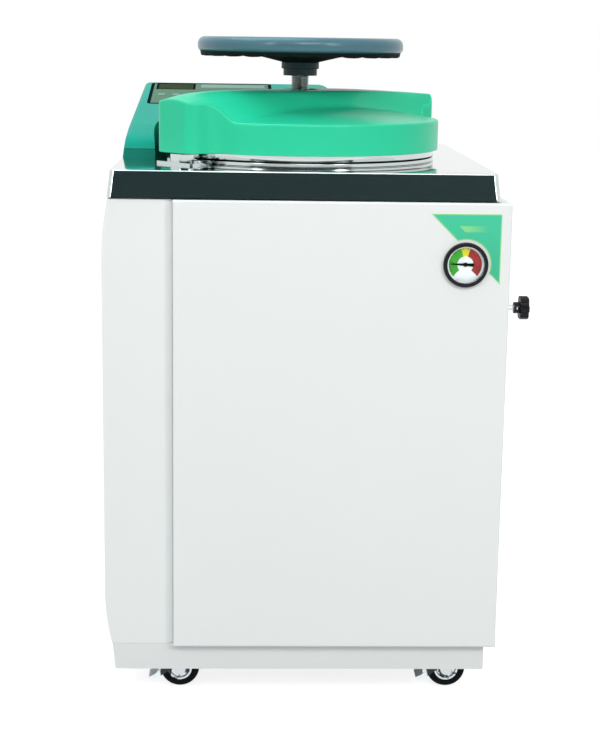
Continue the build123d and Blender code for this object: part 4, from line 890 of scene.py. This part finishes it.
class AUTOCLAVE_OT_console(Step, bpy.types.Operator):
    """Finish the control console, its fascia, its display and its keys"""

    bl_idname = "autoclave.console"
    bl_label = "Console"

    def execute(self, context):
        colours, _ = self.settings(context)
        shell = self.shell_finish(colours)
        smooth_nodes(["console_housing"], "cabinet", shell)
        finish_nodes(["console_fascia"], self.membrane(colours))
        finish_nodes(["display_window"], self.display(colours))
        finish_nodes(["control_board"], board("board_green"))
        soft = moulding("key_plastic", shade(colours.membrane, 1.4), 0.5, 0.0, 0.05)
        for key in KEYS:
            smooth_nodes([key], key, soft)
        return {"FINISHED"}

    def shell_finish(self, colours):
        """Satin moulding with a darker foot below a fine seam."""
        finish = Finish("console_green", specular_ior_level=0.12)
        up = finish.axes()[2] - WORKTOP
        flow = finish.noise(7.0)
        green = finish.mix(flow, shade(colours.console, 0.94), shade(colours.console, 1.06))
        green = finish.mix(1.0 - finish.soft_step(up, 13 * MM, 14 * MM), green, shade(colours.console, 0.55))
        seam = abs(up - 13.5 * MM) < 0.5 * MM
        finish.set("Base Color", finish.mix(seam, green, shade(colours.console, 0.15)))
        finish.set("Roughness", 0.42 + 0.06 * flow)
        finish.bump(finish.noise(350.0, 1.0), 0.03, 0.0002)
        return finish.material

    def membrane(self, colours):
        """Printed membrane with a dark border along the fascia's edges."""
        finish = Finish("fascia_film", specular_ior_level=0.0)
        top = high("console_fascia")
        edge, x, y = finish.edge_distance("console_fascia")
        border = 1.0 - finish.soft_step(edge, 5.0 * MM, 6.0 * MM)
        fine = finish.noise(500.0)
        field = finish.mix(fine, shade(colours.membrane, 0.94), shade(colours.membrane, 1.05))
        label = (x > high("display_window").x + 10 * MM) * (x < top.x - 12 * MM)
        label = label * (y > top.y - 34 * MM) * (y < top.y - 11 * MM)
        field = finish.mix(label, field, tuple(colours.label))
        finish.set("Base Color", finish.mix(border, field, (0.006, 0.016, 0.015)))
        finish.set("Roughness", 0.75 + 0.1 * fine)
        return finish.material

    def display(self, colours):
        """Dark liquid-crystal window in a black frame."""
        finish = Finish("display_tint", roughness=0.6, specular_ior_level=0.0)
        edge, _, _ = finish.edge_distance("display_window")
        frame_mask = 1.0 - finish.soft_step(edge, 3.5 * MM, 4.0 * MM)
        glow = finish.mix(finish.noise(30.0), tuple(colours.display), shade(colours.display, 1.3))
        finish.set("Base Color", finish.mix(frame_mask, glow, (0.01, 0.012, 0.012)))
        return finish.material


class AUTOCLAVE_OT_gauge(Step, bpy.types.Operator):
    """Make the gauge's bezel, print its dial and the badge round it"""

    bl_idname = "autoclave.gauge"
    bl_label = "Gauge and badge"

    def execute(self, context):
        colours, _ = self.settings(context)
        gloss = moulding("gauge_black", colours.black, 0.25, 0.15, 0.15)
        smooth_nodes(["gauge_case"], "cabinet", gloss)
        finish_nodes(["gauge_dial"], dial_print("dial_print", colours))
        finish_nodes(["gauge_glass"], clear_glass("gauge_window"))
        needle = moulding("pointer_black", colours.black, 0.6, 0.0, 0.05)
        self.make_needle(needle)
        finish_nodes(["front_badge"], badge_print("badge_green", colours))
        return {"FINISHED"}


    def make_needle(self, finish):
        """Flat pointer in the pointer's plane: a long taper to the tip, a hub and a broad tail."""
        front = low("gauge_pointer").y
        reach = 22.0 * MM
        tail = 12.5 * MM
        hub_radius = 3.2 * MM
        turn = np.linspace(0.6, math.pi - 0.6, 9)
        hub = hub_radius * np.stack((-np.cos(turn), np.sin(turn)), -1)
        upper = np.concatenate(([(-reach, 0.5 * MM)], hub, [(tail, 2.6 * MM)]))
        lower = upper[::-1] * (1, -1)
        outline = np.concatenate((upper, lower))
        tilt = math.radians(-2.0)
        spin = np.array(((math.cos(tilt), -math.sin(tilt)), (math.sin(tilt), math.cos(tilt))))
        flat = outline @ spin.T
        count = len(flat)
        sheets = []
        for depth in (front, front + 1.0 * MM):
            sheets.append(np.stack((GAUGE.x + flat[:, 0], np.full(count, depth), GAUGE.z + flat[:, 1]), -1))
        points = np.concatenate(sheets)
        half = count // 2
        across = [(i, i + 1, count - 2 - i, count - 1 - i) for i in range(half - 1)]
        back = [tuple(corner + count for corner in face) for face in across]
        edge = [(i, (i + 1) % count, (i + 1) % count + count, i + count) for i in range(count)]
        piece = add_mesh("gauge_needle", points, np.array(across + back + edge), 20.0)
        tie(piece, "pointer", finish, ["gauge_pointer"])


class AUTOCLAVE_OT_fittings(Step, bpy.types.Operator):
    """Finish the exhaust knob, the valves, the pipes and the electrics"""

    bl_idname = "autoclave.fittings"
    bl_label = "Fittings"

    def execute(self, context):
        colours, _ = self.settings(context)
        black = moulding("knob_black", colours.black, 0.30, 0.10, 0.15)
        smooth_nodes(["exhaust_knob"], "exhaust_control", black)
        stem = turned_steel("stem_steel", colours.zinc)
        smooth_nodes(["exhaust_stem"], "exhaust_control", stem)
        self.add_set_screw(stem)
        yellow = turned_steel("brass_fitting", colours.brass, 0.25)
        smooth_nodes(["exhaust_valve", "safety_valve", "drain_valve"], "cabinet", yellow)
        red = turned_steel("pipe_copper", colours.copper, 0.3)
        smooth_nodes(["exhaust_pipe", "pressure_line"], "cabinet", red)
        smooth_nodes(["electrical_box"], "cabinet", powder_coat("box_steel", (0.42, 0.44, 0.45)))
        nylon = moulding("gland_plastic", colours.black, 0.45, 0.0)
        smooth_nodes(["cable_gland"], "cabinet", nylon)
        return {"FINISHED"}

    def add_set_screw(self, steel):
        """Small domed screw head in the knob's hub, on its front side."""
        corner = low("exhaust_knob")
        centre = middle("exhaust_knob")
        hub_front = centre.y - 9.0 * MM
        head = np.array([(0, -0.9), (1.2, -0.75), (2.0, -0.1), (2.2, 1.5), (0, 1.5)]) * MM
        place = (corner.x + 4.8 * MM, hub_front, centre.z)
        screw = add_turned("knob_set_screw", head, 20, place, "Y", crease=50.0)
        tie(screw, "exhaust_control", steel)


class AUTOCLAVE_OT_casters(Step, bpy.types.Operator):
    """Make the tyres and hubs of the casters, and plate their forks and brake pedals"""

    bl_idname = "autoclave.casters"
    bl_label = "Casters"

    def execute(self, context):
        colours, _ = self.settings(context)
        plated = turned_steel("zinc_plate", colours.zinc, 0.28)
        smooth_nodes(["caster_plates"], "cabinet", plated)
        black = rubber("tyre_rubber", colours.rubber)
        hub_grey = self.hub_finish(colours)
        for place in CASTERS:
            smooth_nodes([f"caster_fork_{place}"], f"fork_{place}", plated)
            self.make_wheel(place, black, hub_grey)
        for place in BRAKED:
            tread = self.pedal_finish(place, colours)
            smooth_nodes([f"brake_pedal_{place}"], f"pedal_{place}", tread)
        return {"FINISHED"}

    def pedal_finish(self, place, colours):
        """Satin plating, pale on the tread, with painted shade close to the wheel."""
        finish = Finish(f"pedal_plate_{place}", specular_ior_level=0.3)
        axle = middle(f"caster_wheel_{place}")
        reach, _, _ = finish.distance(axle)
        pale = finish.soft_step(reach, 29.0 * MM, 32.0 * MM)
        # The dark base colour within reach of the axle is painted shade.
        finish.set("Base Color", finish.mix(pale, (0.035, 0.042, 0.047), tuple(colours.pedal)))
        finish.set("Metallic", 0.9 * pale)
        finish.set("Roughness", 0.30 + 0.10 * finish.noise(300.0))
        return finish.material

    def hub_finish(self, colours):
        """Zinc casting, darker in random patches."""
        finish = Finish("hub_casting", metallic=1.0)
        dark_patch = finish.soft_step(finish.noise(95.0, 3.0, (1, 0.2, 1)), 0.50, 0.58)
        finish.set("Base Color", finish.mix(dark_patch, tuple(colours.zinc), (0.05, 0.06, 0.065)))
        finish.set("Roughness", 0.28 + 0.15 * dark_patch)
        return finish.material

    def make_wheel(self, place, black, hub_grey):
        """Tyre with round shoulders on a hub with a dished web and a raised boss."""
        node = f"caster_wheel_{place}"
        body = f"wheel_{place}"
        centre = middle(node)
        radius = (high(node).z - low(node).z) / 2
        half = 9.0 * MM
        boss = 10.0 * MM
        web = 6.0 * MM
        seat = radius - 11.5 * MM
        tyre = rounded(
            [
                (seat, -half + 1.0 * MM, 0),
                (radius - 3.0 * MM, -half, 2.5 * MM),
                (radius, -half + 5.0 * MM, 5.0 * MM),
                (radius, half - 5.0 * MM, 5.0 * MM),
                (radius - 3.0 * MM, half, 2.5 * MM),
                (seat, half - 1.0 * MM, 0),
            ]
        )
        ring = add_turned(f"caster_tyre_{place}", tyre, 72, centre, "Y", closed=True)
        tie(ring, body, black, [node])
        bore = 4.05 * MM
        hub = rounded(
            [
                (bore, -boss, 0),
                (8.0 * MM, -boss, 0.6 * MM),
                (9.0 * MM, -web, 0.6 * MM),
                (seat - 4.0 * MM, -web, 0.6 * MM),
                (seat - 3.0 * MM, -half, 0.6 * MM),
                (seat, -half, 0),
                (seat, half, 0),
                (seat - 3.0 * MM, half, 0.6 * MM),
                (seat - 4.0 * MM, web, 0.6 * MM),
                (9.0 * MM, web, 0.6 * MM),
                (8.0 * MM, boss, 0.6 * MM),
                (bore, boss, 0),
            ],
            steps=3,
        )
        disc = add_turned(f"caster_hub_{place}", hub, 48, centre, "Y", closed=True)
        tie(disc, body, hub_grey)


class AUTOCLAVE_OT_stage(Step, bpy.types.Operator):
    """Set the floor, the lamps, the sky and the camera"""

    bl_idname = "autoclave.stage"
    bl_label = "Stage"

    def execute(self, context):
        stage = context.scene.autoclave_stage
        self.lay_floor()
        self.hang_lamps(stage)
        self.light_sky(context.scene, stage)
        self.place_camera(context.scene, stage)
        context.scene.view_settings.view_transform = "Standard"
        return {"FINISHED"}

    def add_lamp(self, name, place, aim, size, power):
        """Soft rectangular lamp at a place, facing a point."""
        data = bpy.data.lights.new(name, "AREA")
        data.shape = "RECTANGLE"
        data.size, data.size_y = size
        data.energy = power
        lamp = bpy.data.objects.new(name, data)
        lamp.location = place
        lamp.rotation_euler = (Vector(aim) - Vector(place)).to_track_quat("-Z", "Y").to_euler()
        bpy.context.scene.collection.objects.link(lamp)
        return lamp

    def hang_lamps(self, stage):
        """Lamps at the sides, in front and overhead, and a dark screen that polished steel mirrors."""
        self.add_lamp("lamp_left", (-1.9, -2.6, 2.1), (0, 0, 0.9), (0.4, 1.6), stage.side_power)
        right_power = stage.right_share * stage.side_power
        self.add_lamp("lamp_right", (1.7, -2.7, 2.1), (0, 0, 0.9), (0.5, 1.6), right_power)
        self.add_lamp("lamp_front", (0.3, -3.4, 2.7), (0, 0, 1.0), (1.6, 0.8), stage.front_power)
        overhead = self.add_lamp("lamp_top", (-0.8, 0.2, 3.2), (0, 0, 0.8), (2.0, 2.0), stage.top_power)
        overhead.data.color = (0.60, 0.92, 1.0)
        corners = np.array([(-4.5, -5.0, 0.95), (4.5, -5.0, 0.95), (4.5, -5.0, 3.6), (-4.5, -5.0, 3.6)])
        screen = add_mesh("dark_screen", corners, np.array([[0, 1, 2, 3]]))
        finish = Finish("dark_cloth", roughness=1.0, specular_ior_level=0.0, base_color=(0.0, 0.0, 0.0))
        cloth = finish.mix(finish.noise(0.4), (0.020, 0.036, 0.040), (0.038, 0.060, 0.064))
        finish.set("Emission Color", cloth)
        finish.set("Emission Strength", 1.0)
        screen.data.materials.append(finish.material)
        screen.visible_camera = False
        screen.visible_diffuse = False
        screen.visible_shadow = False

    def lay_floor(self):
        """Pale floor that renders white where it is fully lit and keeps the object's shadow."""
        reach = 9.0
        corners = np.array([(-reach, -reach, 0), (reach, -reach, 0), (reach, reach, 0), (-reach, reach, 0)])
        floor = add_mesh("floor", corners, np.array([[0, 1, 2, 3]]))
        finish = Finish("pale_floor", roughness=0.9, specular_ior_level=0.1)
        finish.set("Base Color", finish.mix(finish.noise(1.0), (0.49, 0.49, 0.49), (0.51, 0.51, 0.51)))
        seen = finish.rays("Is Camera Ray", "Is Glossy Ray")
        glow = finish.node("ShaderNodeEmission", None, {"Color": (1, 1, 1), "Strength": seen * 0.80})
        both = finish.node("ShaderNodeAddShader", None, {0: Value(finish, finish.shader.outputs[0]), 1: glow})
        finish.tree.links.new(both.socket, finish.tree.nodes["Material Output"].inputs["Surface"])
        floor.data.materials.append(finish.material)

    def light_sky(self, scene, stage):
        """Even sky that cameras and mirrors see as white."""
        world = bpy.data.worlds.new("sky")
        world.use_nodes = True
        scene.world = world
        sky = Nodes(world.node_tree)
        background = sky.tree.nodes["Background"]
        seen = sky.rays("Is Camera Ray", "Is Glossy Ray", "Is Transmission Ray")
        sky.join((1, 1, 1), background.inputs["Color"])
        sky.join(seen * (1.0 - stage.sky) + stage.sky, background.inputs["Strength"])

    def place_camera(self, scene, stage):
        """Camera at its place, tilted down, turned and rolled."""
        data = bpy.data.cameras.new("camera")
        data.lens = stage.camera_lens
        data.sensor_width = 36.0
        camera = bpy.data.objects.new("camera", data)
        look = (
            Matrix.Rotation(-stage.camera_heading, 4, "Z")
            @ Matrix.Rotation(math.pi / 2 - stage.camera_pitch, 4, "X")
            @ Matrix.Rotation(stage.camera_roll, 4, "Z")
        )
        camera.matrix_world = Matrix.Translation(stage.camera_place) @ look
        scene.collection.objects.link(camera)
        scene.camera = camera


STEPS = (
    AUTOCLAVE_OT_cabinet,
    AUTOCLAVE_OT_vessel,
    AUTOCLAVE_OT_lid_cover,
    AUTOCLAVE_OT_handwheel,
    AUTOCLAVE_OT_console,
    AUTOCLAVE_OT_gauge,
    AUTOCLAVE_OT_fittings,
    AUTOCLAVE_OT_casters,
    AUTOCLAVE_OT_stage,
)


class AUTOCLAVE_PT_steps(bpy.types.Panel):
    """Lists the operators and the settings"""

    bl_label = "Autoclave"
    bl_idname = "AUTOCLAVE_PT_steps"
    bl_space_type = "VIEW_3D"
    bl_region_type = "UI"
    bl_category = "Autoclave"

    def draw(self, context):
        for step in STEPS:
            self.layout.operator(step.bl_idname)
        for name in SETTINGS:
            group = getattr(context.scene, name)
            for setting in group.__annotations__:
                self.layout.prop(group, setting)


SETTINGS = {
    "autoclave_colours": AutoclaveColours,
    "autoclave_shapes": AutoclaveShapes,
    "autoclave_stage": AutoclaveStage,
}


def register():
    """Registers the settings, the operators and the panel."""
    for name, group in SETTINGS.items():
        bpy.utils.register_class(group)
        setattr(bpy.types.Scene, name, PointerProperty(type=group))
    for step in STEPS:
        bpy.utils.register_class(step)
    bpy.utils.register_class(AUTOCLAVE_PT_steps)


def unregister():
    """Removes what register added."""
    bpy.utils.unregister_class(AUTOCLAVE_PT_steps)
    for step in reversed(STEPS):
        bpy.utils.unregister_class(step)
    for name, group in SETTINGS.items():
        delattr(bpy.types.Scene, name)
        bpy.utils.unregister_class(group)


def main():
    """Makes every piece in order."""
    register()
    for step in STEPS:
        group, name = step.bl_idname.split(".")
        getattr(getattr(bpy.ops, group), name)()


if __name__ == "__main__":
    main()
